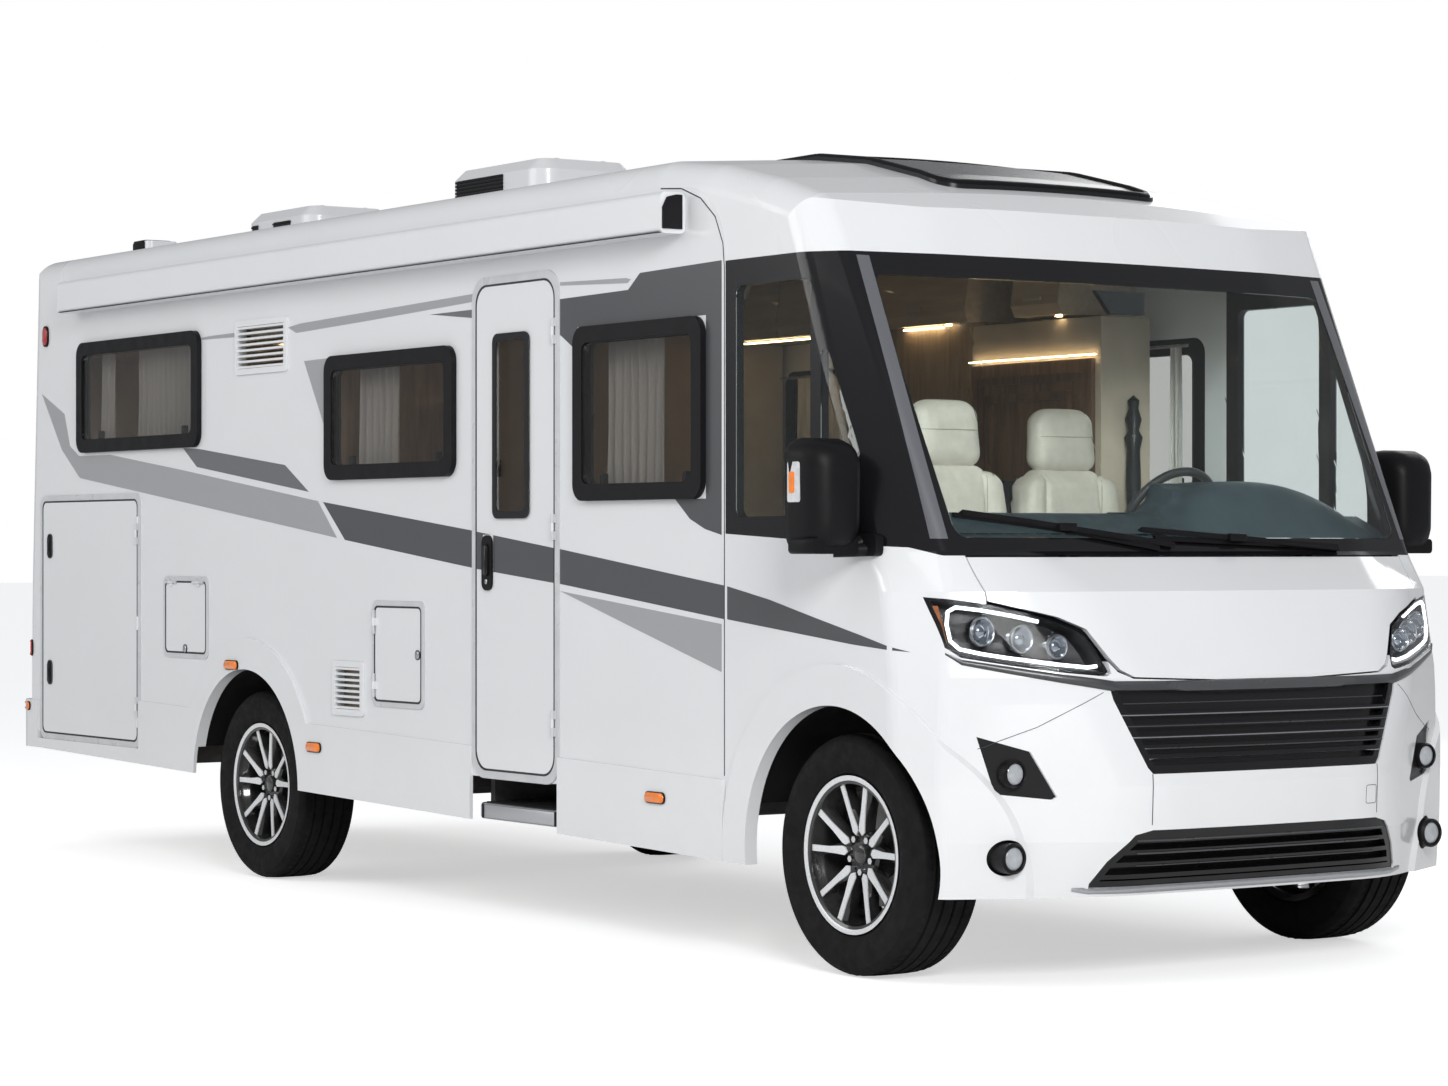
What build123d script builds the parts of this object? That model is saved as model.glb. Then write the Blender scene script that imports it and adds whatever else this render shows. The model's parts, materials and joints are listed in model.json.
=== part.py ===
from build123d import *
import math
import os

# Integrated motorhome. Millimetres; +X forward, +Y to the vehicle's left, +Z up.
# The origin is on the ground, below the middle of the overall length.

os.makedirs("parts", exist_ok=True)

# ---------------------------------------------------------------- stance
WHEELBASE = 4050
FRONT_OVERHANG = 800
REAR_OVERHANG = 2290
BODY_WIDTH = 2220
TRACK = 1865
TYRE_RADIUS = 381.5
TYRE_WIDTH = 255
RIM_RADIUS = 229

LENGTH = FRONT_OVERHANG + WHEELBASE + REAR_OVERHANG
FRONT_AXLE_X = LENGTH / 2 - FRONT_OVERHANG
REAR_AXLE_X = FRONT_AXLE_X - WHEELBASE
REAR_X = -LENGTH / 2
HALF_WIDTH = BODY_WIDTH / 2

# ---------------------------------------------------------------- clearances
SEAT = 0.3          # between a piece and the seat it lies on
DOOR_GAP = 5        # round every opening leaf
RUNNING = 0.08      # radial, spindle in its bore

# ---------------------------------------------------------------- body shell
WALL = 34
SKIN = 6            # bonded panes
FLARE = 14          # how far arches, skirts and the roof light stand out
FLOOR_TOP = 560
FLOOR_THICKNESS = 44
ROOF_SHOULDER_Z = 2640
ROOF_CROWN = 80
ROOF_CORNER_RADIUS = 100
ROOF_JOINT_Z = 2540         # wall below, roof with its corner above
REAR_CORNER_RADIUS = 90
REAR_TOP_RADIUS = 300
REAR_LEAN = 110             # the rear wall's top stands this far ahead of its foot
REAR_WALL_SETBACK = 20      # rear wall's foot ahead of the bumper's rear face
REAR_CORNER_DEPTH = 210     # length of the rear corner mouldings
ROOF_END_DEPTH = 425        # length of the rear wall's roof end
BODY_SPLIT_BEHIND_AXLE = 600    # seam between living body and cab, behind the front axle
CAP_SEAM_BEHIND_AXLE = 1000     # rear seam of the roof cap
CAP_SEAM_RADIUS = 240
LIP_Z = 280
BONNET_FOOT_Z = 950
BONNET_CREASE_Z = 1210
SILL_Z = 1333
SCREEN_HEAD_Z = 2257
CAP_Z = 2281
CAB_SILL_REAR_Z = 1390
CAB_SILL_FRONT_Z = 1345

FLOOR_BOTTOM = FLOOR_TOP - FLOOR_THICKNESS
BODY_SPLIT_X = FRONT_AXLE_X - BODY_SPLIT_BEHIND_AXLE
CAP_SEAM_X = FRONT_AXLE_X - CAP_SEAM_BEHIND_AXLE
NOSE_X = LENGTH / 2
INNER_HALF = HALF_WIDTH - WALL

# Plan sections of the nose. Columns: height, then ahead of the front axle: where the side
# ends, the corner, the knee and the nose; corner and knee widths are in from the side.
NOSE_SECTIONS = [
    # z, side_x, corner_x, corner_in, knee_x, knee_in, nose_x
    (LIP_Z, 330, 465, 75, 690, 510, 705),
    (450, 330, 470, 65, 775, 590, 790),
    (620, 330, 470, 60, 787, 610, FRONT_OVERHANG),
    (870, 310, 470, 65, 745, 510, 770),
    (BONNET_FOOT_Z, 300, 470, 70, 735, 490, 758),
    (BONNET_CREASE_Z, 260, 450, 100, 625, 410, 650),
    (SILL_Z, 200, 400, 125, 455, 410, 480),
    (SCREEN_HEAD_Z, -160, -42, 84, 15, 410, 45),
    (2800, -372, -302, 60, -244, 410, -211),
]
SIDE_FILLET = 110
CORNER_FILLET = 60
KNEE_FILLET = 600
SMALLEST_FILLET = 8
NOSE_BOW_SHARE = 0.45       # share of the nose's half width that its middle fillet takes up

# Roof sections over the cab. Columns: position ahead of the front axle, shoulder height, crown.
CAB_ROOF_SECTIONS = [
    (-1000, ROOF_SHOULDER_Z, ROOF_CROWN),
    (-700, 2602, 78),
    (-400, 2534, 70),
    (-180, 2468, 62),
    (-40, 2400, 56),
    (40, 2340, 50),
    (1000, 2335, 50),
]

# ---------------------------------------------------------------- running gear
AXLE_Z = TYRE_RADIUS
ARCH_RADIUS = 470
FLARE_WIDTH = 130
LINER_RADIUS = 502
LINER_THICKNESS = 6
KINGPIN_HALF = 760          # kingpin axis from the vehicle's middle
SPINDLE_RADIUS = 25
PIN_RADIUS = 14
RAIL_HALF = 430
RAIL_HEIGHT = 100
RAIL_WIDTH = 60
RAIL_BOTTOM = FLOOR_BOTTOM - RAIL_HEIGHT


# ---------------------------------------------------------------- helpers
def block(x0, x1, y0, y1, z0, z1):
    size = Box(abs(x1 - x0), abs(y1 - y0), abs(z1 - z0))
    return Pos((x0 + x1) / 2, (y0 + y1) / 2, (z0 + z1) / 2) * size


def outline(points, radius=0):
    """A flat face inside a closed chain of points, with one or several corner radii."""
    if radius:
        return make_face(FilletPolyline(*points, radius=radius, close=True))
    return make_face(Polyline(*points, close=True))


def across(face, y0, y1):
    """Extrude an (x, z) face from y0 to y1."""
    return extrude(Plane.XZ.offset(-y1) * face, y1 - y0)


def along(face, x0, x1):
    """Extrude a (y, z) face from x0 to x1."""
    return extrude(Plane.YZ.offset(x0) * face, x1 - x0)


def upward(face, z0, z1):
    """Extrude an (x, y) face from z0 to z1."""
    return extrude(Plane.XY.offset(z0) * face, z1 - z0)


def rounded(x0, x1, z0, z1, radius):
    return Pos((x0 + x1) / 2, (z0 + z1) / 2) * RectangleRounded(x1 - x0, z1 - z0, radius)


def solids_of(shape, smallest=1000):
    """The solids of a result as one compound, without slivers."""
    kept = [solid for solid in shape.solids() if solid.volume > smallest]
    return kept[0] if len(kept) == 1 else Compound(children=kept)


def mirrored(shape):
    return mirror(shape, Plane.XZ)


def both_sides(shape):
    return Compound(children=list(shape.solids()) + list(mirrored(shape).solids()))


def save(name, shape):
    export_step(shape, "parts/" + name + ".step")


def tube_y(x, z, radius, y0, y1):
    return Pos(x, (y0 + y1) / 2, z) * Rot(90, 0, 0) * Cylinder(radius, abs(y1 - y0))


def tube_z(x, y, radius, z0, z1):
    return Pos(x, y, (z0 + z1) / 2) * Cylinder(radius, abs(z1 - z0))


def from_front(x):
    return FRONT_AXLE_X + x


def from_rear(x):
    return REAR_AXLE_X + x


# ---------------------------------------------------------------- outer form
def inset_chain(points, distance):
    """Move each leg of an open chain to its left by a distance and rejoin the legs."""
    legs = []
    for (x0, y0), (x1, y1) in zip(points, points[1:]):
        length = math.hypot(x1 - x0, y1 - y0)
        dx, dy = (x1 - x0) / length, (y1 - y0) / length
        legs.append((x0 - dy * distance, y0 + dx * distance, dx, dy))
    moved = [legs[0][:2]]
    for (ax, ay, adx, ady), (bx, by, bdx, bdy) in zip(legs, legs[1:]):
        step = ((bx - ax) * bdy - (by - ay) * bdx) / (adx * bdy - ady * bdx)
        moved.append((ax + adx * step, ay + ady * step))
    last = legs[-1]
    reach = points[-1][0] - last[0]
    moved.append((last[0] + reach, last[1]))
    return moved


def nose_section(row, inset):
    """One closed plan outline of the nose, moved inward by an inset."""
    z, side_x, corner_x, corner_in, knee_x, knee_in, nose_x = row
    half = [
        (BODY_SPLIT_X, HALF_WIDTH),
        (from_front(side_x), HALF_WIDTH),
        (from_front(corner_x), HALF_WIDTH - corner_in),
        (from_front(knee_x), HALF_WIDTH - knee_in),
    ]
    vertex_x = knee_x + (nose_x - knee_x) / (1 - NOSE_BOW_SHARE / 2)
    chain = [(x, -y) for x, y in half] + [(from_front(vertex_x), 0)] + half[::-1]
    chain = inset_chain(chain, inset)
    bow = math.atan2(chain[4][0] - chain[3][0], chain[4][1] - chain[3][1])
    nose_fillet = NOSE_BOW_SHARE * chain[5][1] / math.tan(bow)
    side = SIDE_FILLET - inset
    corner = max(CORNER_FILLET - inset, SMALLEST_FILLET)
    knee = KNEE_FILLET - inset
    bends = [side, corner, knee, nose_fillet, knee, corner, side]
    front = FilletPolyline(*chain, radius=bends)
    return Plane.XY.offset(z) * make_face(front + Line(chain[-1], chain[0]))


def roof_section(shoulder, crown, inset):
    """A (y, z) outline of the body's cross-section, wide as the body and domed on top."""
    half = HALF_WIDTH - inset
    top = shoulder - inset
    foot = 0 - inset
    dome = 0.6 * half / math.tan(math.atan2(crown, half))
    points = [(-half, foot), (half, foot), (half, top), (0, top + crown), (-half, top)]
    corner = ROOF_CORNER_RADIUS - inset
    return outline(points, [0, 0, corner, dome, corner])


def rear_plan(z, rear_x, inset):
    half = HALF_WIDTH - inset
    corner = REAR_CORNER_RADIUS - inset
    points = [(BODY_SPLIT_X, -half), (rear_x, -half), (rear_x, half), (BODY_SPLIT_X, half)]
    return Plane.XY.offset(z) * outline(points, [0, corner, corner, 0])


def rear_wall_x(z):
    """The rear wall's outer face, which leans forward with height."""
    share = (z - FLOOR_BOTTOM) / (ROOF_SHOULDER_Z - FLOOR_BOTTOM)
    return REAR_X + REAR_WALL_SETBACK + REAR_LEAN * share


def rear_form(inset):
    """The living body: leaning rear wall, rounded rear corners and a rounded roof end."""
    top = ROOF_SHOULDER_Z + ROOF_CROWN - inset
    low = FLOOR_BOTTOM - (50 if inset > 0 else 0)
    walls = loft([rear_plan(z, rear_wall_x(z) + inset, inset) for z in (low, top + 50)], ruled=True)
    bend = REAR_TOP_RADIUS - inset
    back = rear_wall_x(top - bend) + inset
    side = [(back, low - 50), (BODY_SPLIT_X + 50, low - 50), (BODY_SPLIT_X + 50, top), (back, top)]
    return walls & across(outline(side, [0, 0, 0, bend]), -HALF_WIDTH - 50, HALF_WIDTH + 50)


def cab_roof_form(inset):
    """Everything below the cab's falling roof, which runs level ahead of the screen's head."""
    stations = []
    for x, shoulder, crown in CAB_ROOF_SECTIONS:
        stations.append(Plane.YZ.offset(from_front(x)) * roof_section(shoulder, crown, inset))
    return loft(stations, ruled=True)


def living_form(inset):
    """The body behind the cab, with every outer surface moved inward by an inset."""
    level = along(roof_section(ROOF_SHOULDER_Z, ROOF_CROWN, inset), REAR_X - 50, CAP_SEAM_X)
    walls = rear_form(inset)
    cap_end = walls & cab_roof_form(inset)
    return (walls & level) + cap_end


def cab_form(inset):
    """The body ahead of the cab seam, with every outer surface moved inward by an inset."""
    nose = loft([nose_section(row, inset) for row in NOSE_SECTIONS], ruled=True)
    return nose & cab_roof_form(inset)


# ---------------------------------------------------------------- shells
FAR = HALF_WIDTH + 300
HIGH = 3200

living_outer = living_form(0)
living_inner = living_form(WALL)
living_shell = living_outer - living_inner
cab_outer = cab_form(0)
cab_inner = cab_form(WALL)
cab_shell = cab_outer - cab_inner
cab_skin = cab_form(SKIN)
cab_flare_layer = cab_form(-FLARE) - cab_outer
living_flare_layer = living_form(-FLARE) - living_outer

WALL_REAR_X = REAR_X + REAR_CORNER_DEPTH
ROOF_REAR_X = REAR_X + ROOF_END_DEPTH

cap_seam = [
    (CAP_SEAM_X, HIGH),
    (CAP_SEAM_X, ROOF_JOINT_Z),
    (BODY_SPLIT_X, ROOF_JOINT_Z),
    (BODY_SPLIT_X, CAP_Z),
    (NOSE_X + 100, CAP_Z),
    (NOSE_X + 100, HIGH),
]
cap_region = across(outline(cap_seam, [0, 0, CAP_SEAM_RADIUS, 0, 0, 0]), -FAR, FAR)

SCREEN_CORNER_X = from_front(NOSE_SECTIONS[6][2])
COWL_Z = SILL_Z - 13
frame_seam = [
    (BODY_SPLIT_X, CAP_Z),
    (BODY_SPLIT_X, CAB_SILL_REAR_Z),
    (SCREEN_CORNER_X - 100, CAB_SILL_FRONT_Z),
    (SCREEN_CORNER_X, COWL_Z),
    (NOSE_X + 100, COWL_Z),
    (NOSE_X + 100, CAP_Z),
]
frame_region = across(outline(frame_seam), -FAR, FAR)

FENDER_SEAM_TOP_X = from_front(300)
FENDER_SEAM_FOOT_X = from_front(420)
fender_seam = [
    (BODY_SPLIT_X, CAB_SILL_REAR_Z),
    (BODY_SPLIT_X, LIP_Z - 5),
    (FENDER_SEAM_FOOT_X, LIP_Z - 5),
    (FENDER_SEAM_FOOT_X, 890),
    (FENDER_SEAM_TOP_X + 60, 925),
    (FENDER_SEAM_TOP_X, CAB_SILL_FRONT_Z),
]
fender_region = across(outline(fender_seam), -FAR, FAR)

# ---------------------------------------------------------------- skirts and arches
SKIRT_TOP_Z = 575           # at the front axle; both edges rise towards the rear
SKIRT_TOP_RAKE = 0.0225
SKIRT_FOOT_Z = 310
SKIRT_FOOT_RAKE = 0.0213


def skirt_top(x):
    return SKIRT_TOP_Z + (FRONT_AXLE_X - x) * SKIRT_TOP_RAKE


def skirt_foot(x):
    return SKIRT_FOOT_Z + (FRONT_AXLE_X - x) * SKIRT_FOOT_RAKE


def skirt_length(x0, x1, side=-1):
    """A raked skirt plate on the wall's outer face, between two positions."""
    points = [(x0, skirt_foot(x0)), (x1, skirt_foot(x1)), (x1, skirt_top(x1)), (x0, skirt_top(x0))]
    inner, outer = sorted((side * HALF_WIDTH, side * (HALF_WIDTH + FLARE)))
    return across(outline(points), inner, outer)


def above_skirt_foot():
    points = [
        (REAR_X - 100, skirt_foot(REAR_X - 100)),
        (NOSE_X + 100, skirt_foot(NOSE_X + 100)),
        (NOSE_X + 100, HIGH),
        (REAR_X - 100, HIGH),
    ]
    return across(outline(points), -FAR, FAR)


def wheel_space(x, radius=ARCH_RADIUS):
    return tube_y(x, AXLE_Z, radius, -FAR, FAR)


over_foot = above_skirt_foot()
front_arch = wheel_space(FRONT_AXLE_X)
rear_arch = wheel_space(REAR_AXLE_X)

# ---------------------------------------------------------------- leaves, frames and windows
LEAF_PROUD = 5
FRAME_PROUD = 5
HINGE_RADIUS = 6
HINGE_LENGTH = 30
HINGE_REACH = 16
HINGE_PLATE = 3

# Opening leaves. Columns: name, side, hinge edge, rear edge, length, foot, height, corner
# radius, frame width and the places of the hinges along the hinge edge, as shares of it.
LEAVES = {
    "entrance_door": (-1, "front", from_front(-2232), 604, 511, 1812, 85, 33, (0.12, 0.5, 0.88)),
    "garage_door_right": (-1, "front", from_rear(-2065), 1057, 483, 1098, 45, 30, (0.16, 0.84)),
    "garage_door_left": (1, "front", from_rear(-2065), 1057, 483, 1098, 45, 30, (0.16, 0.84)),
    "service_hatch_rear": (-1, "top", from_rear(-775), 426, 883, 342, 32, 24, (0.2, 0.8)),
    "service_hatch_front": (-1, "rear", from_front(-2988), 402, 741, 403, 32, 24, (0.2, 0.8)),
}


def leaf_plane(side, edge, x, length, foot, height):
    """A plane on the wall's outer face: x runs from the hinge edge to the free edge."""
    if edge == "front":
        across_dir, start, along_size, across_size = (-1, 0, 0), (x + length, foot), height, length
    elif edge == "rear":
        across_dir, start, along_size, across_size = (1, 0, 0), (x, foot), height, length
    else:
        across_dir, start, along_size, across_size = (0, 0, -1), (x, foot + height), length, height
    plane = Plane(origin=(start[0], side * HALF_WIDTH, start[1]), x_dir=across_dir, z_dir=(0, side, 0))
    runs_back = plane.y_dir.Z < -0.5 or plane.y_dir.X < -0.5
    if runs_back:
        shift = Vector(0, 0, along_size) if edge != "top" else Vector(along_size, 0, 0)
        plane = Plane(origin=plane.origin + shift, x_dir=across_dir, z_dir=(0, side, 0))
    return plane, across_size, along_size


def sheet_between(x0, x1, y0, y1, radius, z0, z1):
    return Pos(0, 0, z0) * extrude(rounded(x0, x1, y0, y1, radius), z1 - z0)


def leaf_set(row):
    """The leaf, its fixed frame, the hole for the frame and the hinge axis."""
    side, edge, x, length, foot, height, radius, frame_width, places = row
    plane, width, run = leaf_plane(side, edge, x, length, foot, height)
    hole = sheet_between(0, width, 0, run, radius, -WALL - 20, 60)
    inner = frame_width - 2
    opening = sheet_between(inner, width - inner, inner, run - inner, radius - inner / 2, -WALL - 30, 70)
    frame = sheet_between(SEAT, width - SEAT, SEAT, run - SEAT, radius - SEAT, -WALL, FRAME_PROUD) - opening
    edge_in = inner + DOOR_GAP
    leaf = sheet_between(edge_in, width - edge_in, edge_in, run - edge_in, radius - inner / 2, -WALL, LEAF_PROUD)
    axis_x = inner + DOOR_GAP / 2
    axis_z = max(LEAF_PROUD, FRAME_PROUD) + HINGE_RADIUS + 1
    for share in places:
        middle = run * share
        barrel = Rot(90, 0, 0) * Cylinder(HINGE_RADIUS, HINGE_LENGTH)
        leaf_barrel = Pos(axis_x, middle, axis_z) * barrel
        low = LEAF_PROUD - HINGE_PLATE
        leaf_plate = block(axis_x, axis_x + HINGE_REACH, middle - HINGE_LENGTH / 2, middle + HINGE_LENGTH / 2, low, axis_z)
        leaf += leaf_barrel + (leaf_plate - block(axis_x - 5, edge_in, 0, run, low - 1, LEAF_PROUD + 1))
        for hand in (-1, 1):
            place = middle + hand * (HINGE_LENGTH + SEAT)
            frame_plate = block(axis_x - HINGE_REACH, axis_x, place - HINGE_LENGTH / 2, place + HINGE_LENGTH / 2, low, axis_z)
            frame_plate -= block(inner, axis_x + 5, 0, run, low - 1, FRAME_PROUD + 1)
            frame += Pos(axis_x, place, axis_z) * barrel + frame_plate
    return plane * leaf, plane * frame, plane * hole, plane


leaf_solids = {}
frame_solids = []
wall_holes = []
for name, row in LEAVES.items():
    leaf, frame, hole, leaf_place = leaf_set(row)
    leaf_solids[name] = leaf
    frame_solids.append(frame)
    wall_holes.append(hole)

# Living windows, the same on both sides. Columns: rear edge, length, foot, height.
WINDOWS = [
    (from_rear(-1638), 1218, 1765, 487),
    (from_front(-3349), 997, 1607, 483),
    (from_front(-1513), 799, 1506, 604),
]
WINDOW_RADIUS = 60
WINDOW_FRAME = 58
WINDOW_PROUD = 22
PANE_PROUD = 14
PANE_THICKNESS = 22


def wall_sheet(row, margin, radius, y_outer, y_inner):
    """A rounded sheet standing in the right wall; y values count outward from its outer face."""
    x, length, foot, height = row
    face = rounded(x + margin, x + length - margin, foot + margin, foot + height - margin, radius)
    return across(face, -HALF_WIDTH - y_outer, -HALF_WIDTH - y_inner)


def window_set(row):
    hole = wall_sheet(row, 0, WINDOW_RADIUS, 60, -WALL - 20)
    inner_radius = WINDOW_RADIUS - WINDOW_FRAME / 2
    frame = wall_sheet(row, SEAT, WINDOW_RADIUS - SEAT, WINDOW_PROUD, -WALL)
    frame -= wall_sheet(row, WINDOW_FRAME, inner_radius, WINDOW_PROUD + 5, -WALL - 5)
    pane = wall_sheet(row, WINDOW_FRAME + SEAT, inner_radius - SEAT, PANE_PROUD, PANE_PROUD - PANE_THICKNESS)
    return frame, pane, hole


window_frames = []
window_panes = []
for row in WINDOWS:
    frame, pane, hole = window_set(row)
    window_frames += [frame, mirrored(frame)]
    window_panes += [pane, mirrored(pane)]
    wall_holes += [hole, mirrored(hole)]
save("window_frames", Compound(children=window_frames))
save("window_panes", Compound(children=window_panes))
save("door_frames", Compound(children=frame_solids))

# Wall vents on the right. Columns: rear edge, length, foot, height.
VENTS = [
    (from_rear(-97), 456, 2048, 220),
    (from_front(-3303), 248, 697, 211),
]
VENT_BAR = 9
VENT_PITCH = 21
VENT_PROUD = 9


def vent(row):
    """A louvred grille: a frame with level bars across it."""
    x, length, foot, height = row
    grille = wall_sheet(row, SEAT, 14, VENT_PROUD, -WALL)
    grille -= wall_sheet(row, 24, 6, VENT_PROUD + 5, -WALL - 5)
    count = int((height - 60) / VENT_PITCH)
    for number in range(count + 1):
        z = foot + 30 + number * (height - 60) / count
        bar = block(x + 23, x + length - 23, -HALF_WIDTH - VENT_PROUD + 2, -HALF_WIDTH + WALL, z - VENT_BAR / 2, z + VENT_BAR / 2)
        grille += bar
    return grille


vents = []
for row in VENTS:
    vents.append(vent(row))
    wall_holes.append(wall_sheet(row, 0, 14 + SEAT, 60, -WALL - 20))
save("wall_vents", Compound(children=vents))

# ---------------------------------------------------------------- living body panels
right_wall = block(WALL_REAR_X, BODY_SPLIT_X, -HALF_WIDTH, -INNER_HALF, FLOOR_BOTTOM, ROOF_JOINT_Z)
right_wall = right_wall - cap_region - rear_arch
left_wall = mirrored(right_wall)
for hole in wall_holes:
    if hole.center().Y < 0:
        right_wall -= hole
    else:
        left_wall -= hole
save("side_wall_right", solids_of(right_wall))
save("side_wall_left", solids_of(left_wall))

rear_region = block(REAR_X - 50, WALL_REAR_X, -FAR, FAR, 0, HIGH)
rear_region += block(REAR_X - 50, ROOF_REAR_X, -FAR, FAR, ROOF_JOINT_Z, HIGH)
save("rear_wall", solids_of((living_outer & rear_region) - living_inner))
roof_arch = roof_section(ROOF_SHOULDER_Z, ROOF_CROWN, 0) - roof_section(ROOF_SHOULDER_Z, ROOF_CROWN, WALL)
roof_panel = along(roof_arch, ROOF_REAR_X, CAP_SEAM_X) & block(ROOF_REAR_X, CAP_SEAM_X, -FAR, FAR, ROOF_JOINT_Z, HIGH)
save("roof_panel", solids_of(roof_panel))
save("roof_cap", solids_of((living_shell & cap_region) + (cab_shell & cap_region)))

WELL_HALF = 735
CAB_FLOOR_HALF = 540
CAB_FLOOR_END_X = from_front(-80)
WELL_LENGTH_HALF = LINER_RADIUS + LINER_THICKNESS
floor = block(REAR_X, BODY_SPLIT_X, -FAR, FAR, FLOOR_BOTTOM, FLOOR_TOP) & living_inner
for side in (-1, 1):
    floor -= block(REAR_AXLE_X - WELL_LENGTH_HALF, REAR_AXLE_X + WELL_LENGTH_HALF, side * WELL_HALF, side * FAR, 0, HIGH)
floor += block(BODY_SPLIT_X, CAB_FLOOR_END_X, -CAB_FLOOR_HALF, CAB_FLOOR_HALF, FLOOR_BOTTOM, FLOOR_TOP)
save("floor_panel", floor)

# ---------------------------------------------------------------- cab panels
save("cab_fenders", both_sides(solids_of(
    ((cab_shell & fender_region) + (cab_flare_layer & fender_region & wheel_space(FRONT_AXLE_X, ARCH_RADIUS + FLARE_WIDTH)))
    - front_arch & over_foot & block(REAR_X, NOSE_X, -FAR, 0, 0, HIGH))))

# Front views. Columns: distance from the middle, height.
SCREEN_CLEAR = [(930, 1375), (962, 2205), (-962, 2205), (-930, 1375)]
# Columns: distance from the middle, height, then how much farther out and down the hole goes.
BONNET_EDGE = [
    (916, COWL_Z - DOOR_GAP, DOOR_GAP, -2 * DOOR_GAP),
    (905, 1182, DOOR_GAP, 12),
    (720, 1133, 10, 12),
    (640, 1096, 12, 6),
    (584, 1006, 12, 6),
    (556, 972, 12, 6),
    (513, 950, DOOR_GAP, DOOR_GAP),
    (200, 938, DOOR_GAP, DOOR_GAP),
]
HEADLAMP_OUTLINE = [
    (-1050, 1194), (-905, 1172), (-722, 1123), (-648, 1088), (-594, 998), (-590, 962),
    (-608, 953), (-740, 966), (-866, 987), (-992, 1011), (-1029, 1041), (-1037, 1110),
]
UPPER_GRILLE_OUTLINE = [
    (-604, 935), (-590, 882), (-487, 674), (-470, 655), (470, 655), (487, 674), (590, 882), (604, 935),
    (520, 936), (200, 926), (-200, 926), (-520, 936),
]
LOWER_GRILLE_OUTLINE = [
    (-468, 484), (-525, 470), (-600, 390), (-642, 322), (-642, 302), (642, 302), (642, 322), (600, 390), (525, 470), (468, 484),
]
FOG_UPPER_OUTLINE = [(-958, 772), (-816, 726), (-744, 589), (-757, 580), (-895, 596), (-913, 611)]
FOG_LOWER_PLACE = (-881, 405)
FOG_LOWER_RADIUS = 55
FOG_UPPER_PLACE = (-866, 657)
FOG_LAMP_RADIUS = 33


def symmetric(points):
    """A closed front view from its right half, listed from the top to the foot."""
    return points + [(-y, z) for y, z in points[::-1]]


def front_view(points, radius=0, x0=FRONT_AXLE_X - 400, x1=NOSE_X + 100):
    return along(outline(points, radius), x0, x1)


screen_face = outline(SCREEN_CLEAR, 40)
screen_opening = along(screen_face, from_front(-400), NOSE_X + 100)
screen_space = along(offset(screen_face, -SEAT), from_front(-400), NOSE_X + 100)
save("windscreen", solids_of((cab_outer & screen_space) - cab_skin))

# Side panes of the cab, seen from the side.
CAB_WINDOW = [(from_front(-540), 1445), (from_front(-125), 1445), (from_front(-125), 2195), (from_front(-540), 2195)]
QUARTER_WINDOW = [(from_front(-70), 1420), (from_front(112), 1420), (from_front(112), 1640), (from_front(-70), 2030)]

side_panes = []
side_openings = []
for points, radius in ((CAB_WINDOW, 30), (QUARTER_WINDOW, 18)):
    face = outline(points, radius)
    near, far = -FAR, -HALF_WIDTH + 250
    side_panes += list(((cab_outer & across(offset(face, -SEAT), near, far)) - cab_skin).solids())
    side_openings.append(across(face, near, far))
save("cab_side_panes", both_sides(Compound(children=side_panes)))

# The bonnet turns below the cowl, on two hinges under its skin.
BONNET_AXIS_X = from_front(507)
BONNET_AXIS_Z = COWL_Z - 63
BONNET_HINGE_HALF = 500
BRACKET_WIDTH = 18
# Side views about the axis. Columns: ahead of it, above it.
BRACKET_PROFILE = [
    (-107, 103), (-77, 103), (-77, 69), (-91, 59), (-91, -35), (-59, -43), (-6, 5), (6, -5), (-47, -77), (-107, -62),
]
BONNET_LUG_PROFILE = [(-5, 3), (5, -4), (33, 11), (15, 28)]


def about_bonnet_axis(profile, y0, y1):
    points = [(BONNET_AXIS_X + x, BONNET_AXIS_Z + z) for x, z in profile]
    return across(outline(points), y0, y1) + tube_y(BONNET_AXIS_X, BONNET_AXIS_Z, HINGE_RADIUS, y0, y1)


bonnet_brackets = []
bonnet_lugs = []
for middle in (-BONNET_HINGE_HALF, BONNET_HINGE_HALF):
    half = HINGE_LENGTH / 2
    bonnet_lugs.append(about_bonnet_axis(BONNET_LUG_PROFILE, middle - half, middle + half))
    for start in (middle - half - SEAT - BRACKET_WIDTH, middle + half + SEAT):
        bonnet_brackets.append(about_bonnet_axis(BRACKET_PROFILE, start, start + BRACKET_WIDTH))

frame_space = frame_region - screen_opening
for opening in side_openings:
    frame_space -= opening
    frame_space -= mirrored(opening)
cab_frame = (cab_outer & frame_space) - cab_inner
for bracket in bonnet_brackets:
    cab_frame += bracket
save("cab_window_frame", solids_of(cab_frame))

bonnet_half = [(y, z) for y, z, out, down in BONNET_EDGE]
bonnet_hole_half = [(y + out, z - down) for y, z, out, down in BONNET_EDGE]
bonnet_prism = front_view(symmetric(bonnet_half))
bonnet_hole = front_view(symmetric(bonnet_hole_half))
headlamp_prism = front_view(HEADLAMP_OUTLINE)
upper_grille_prism = front_view(UPPER_GRILLE_OUTLINE)
lower_grille_prism = front_view(LOWER_GRILLE_OUTLINE)
fog_upper_prism = front_view(FOG_UPPER_OUTLINE)
fog_lower_prism = Pos(NOSE_X - 300, FOG_LOWER_PLACE[0], FOG_LOWER_PLACE[1]) * Rot(0, 90, 0) * Cylinder(FOG_LOWER_RADIUS, 800)

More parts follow.
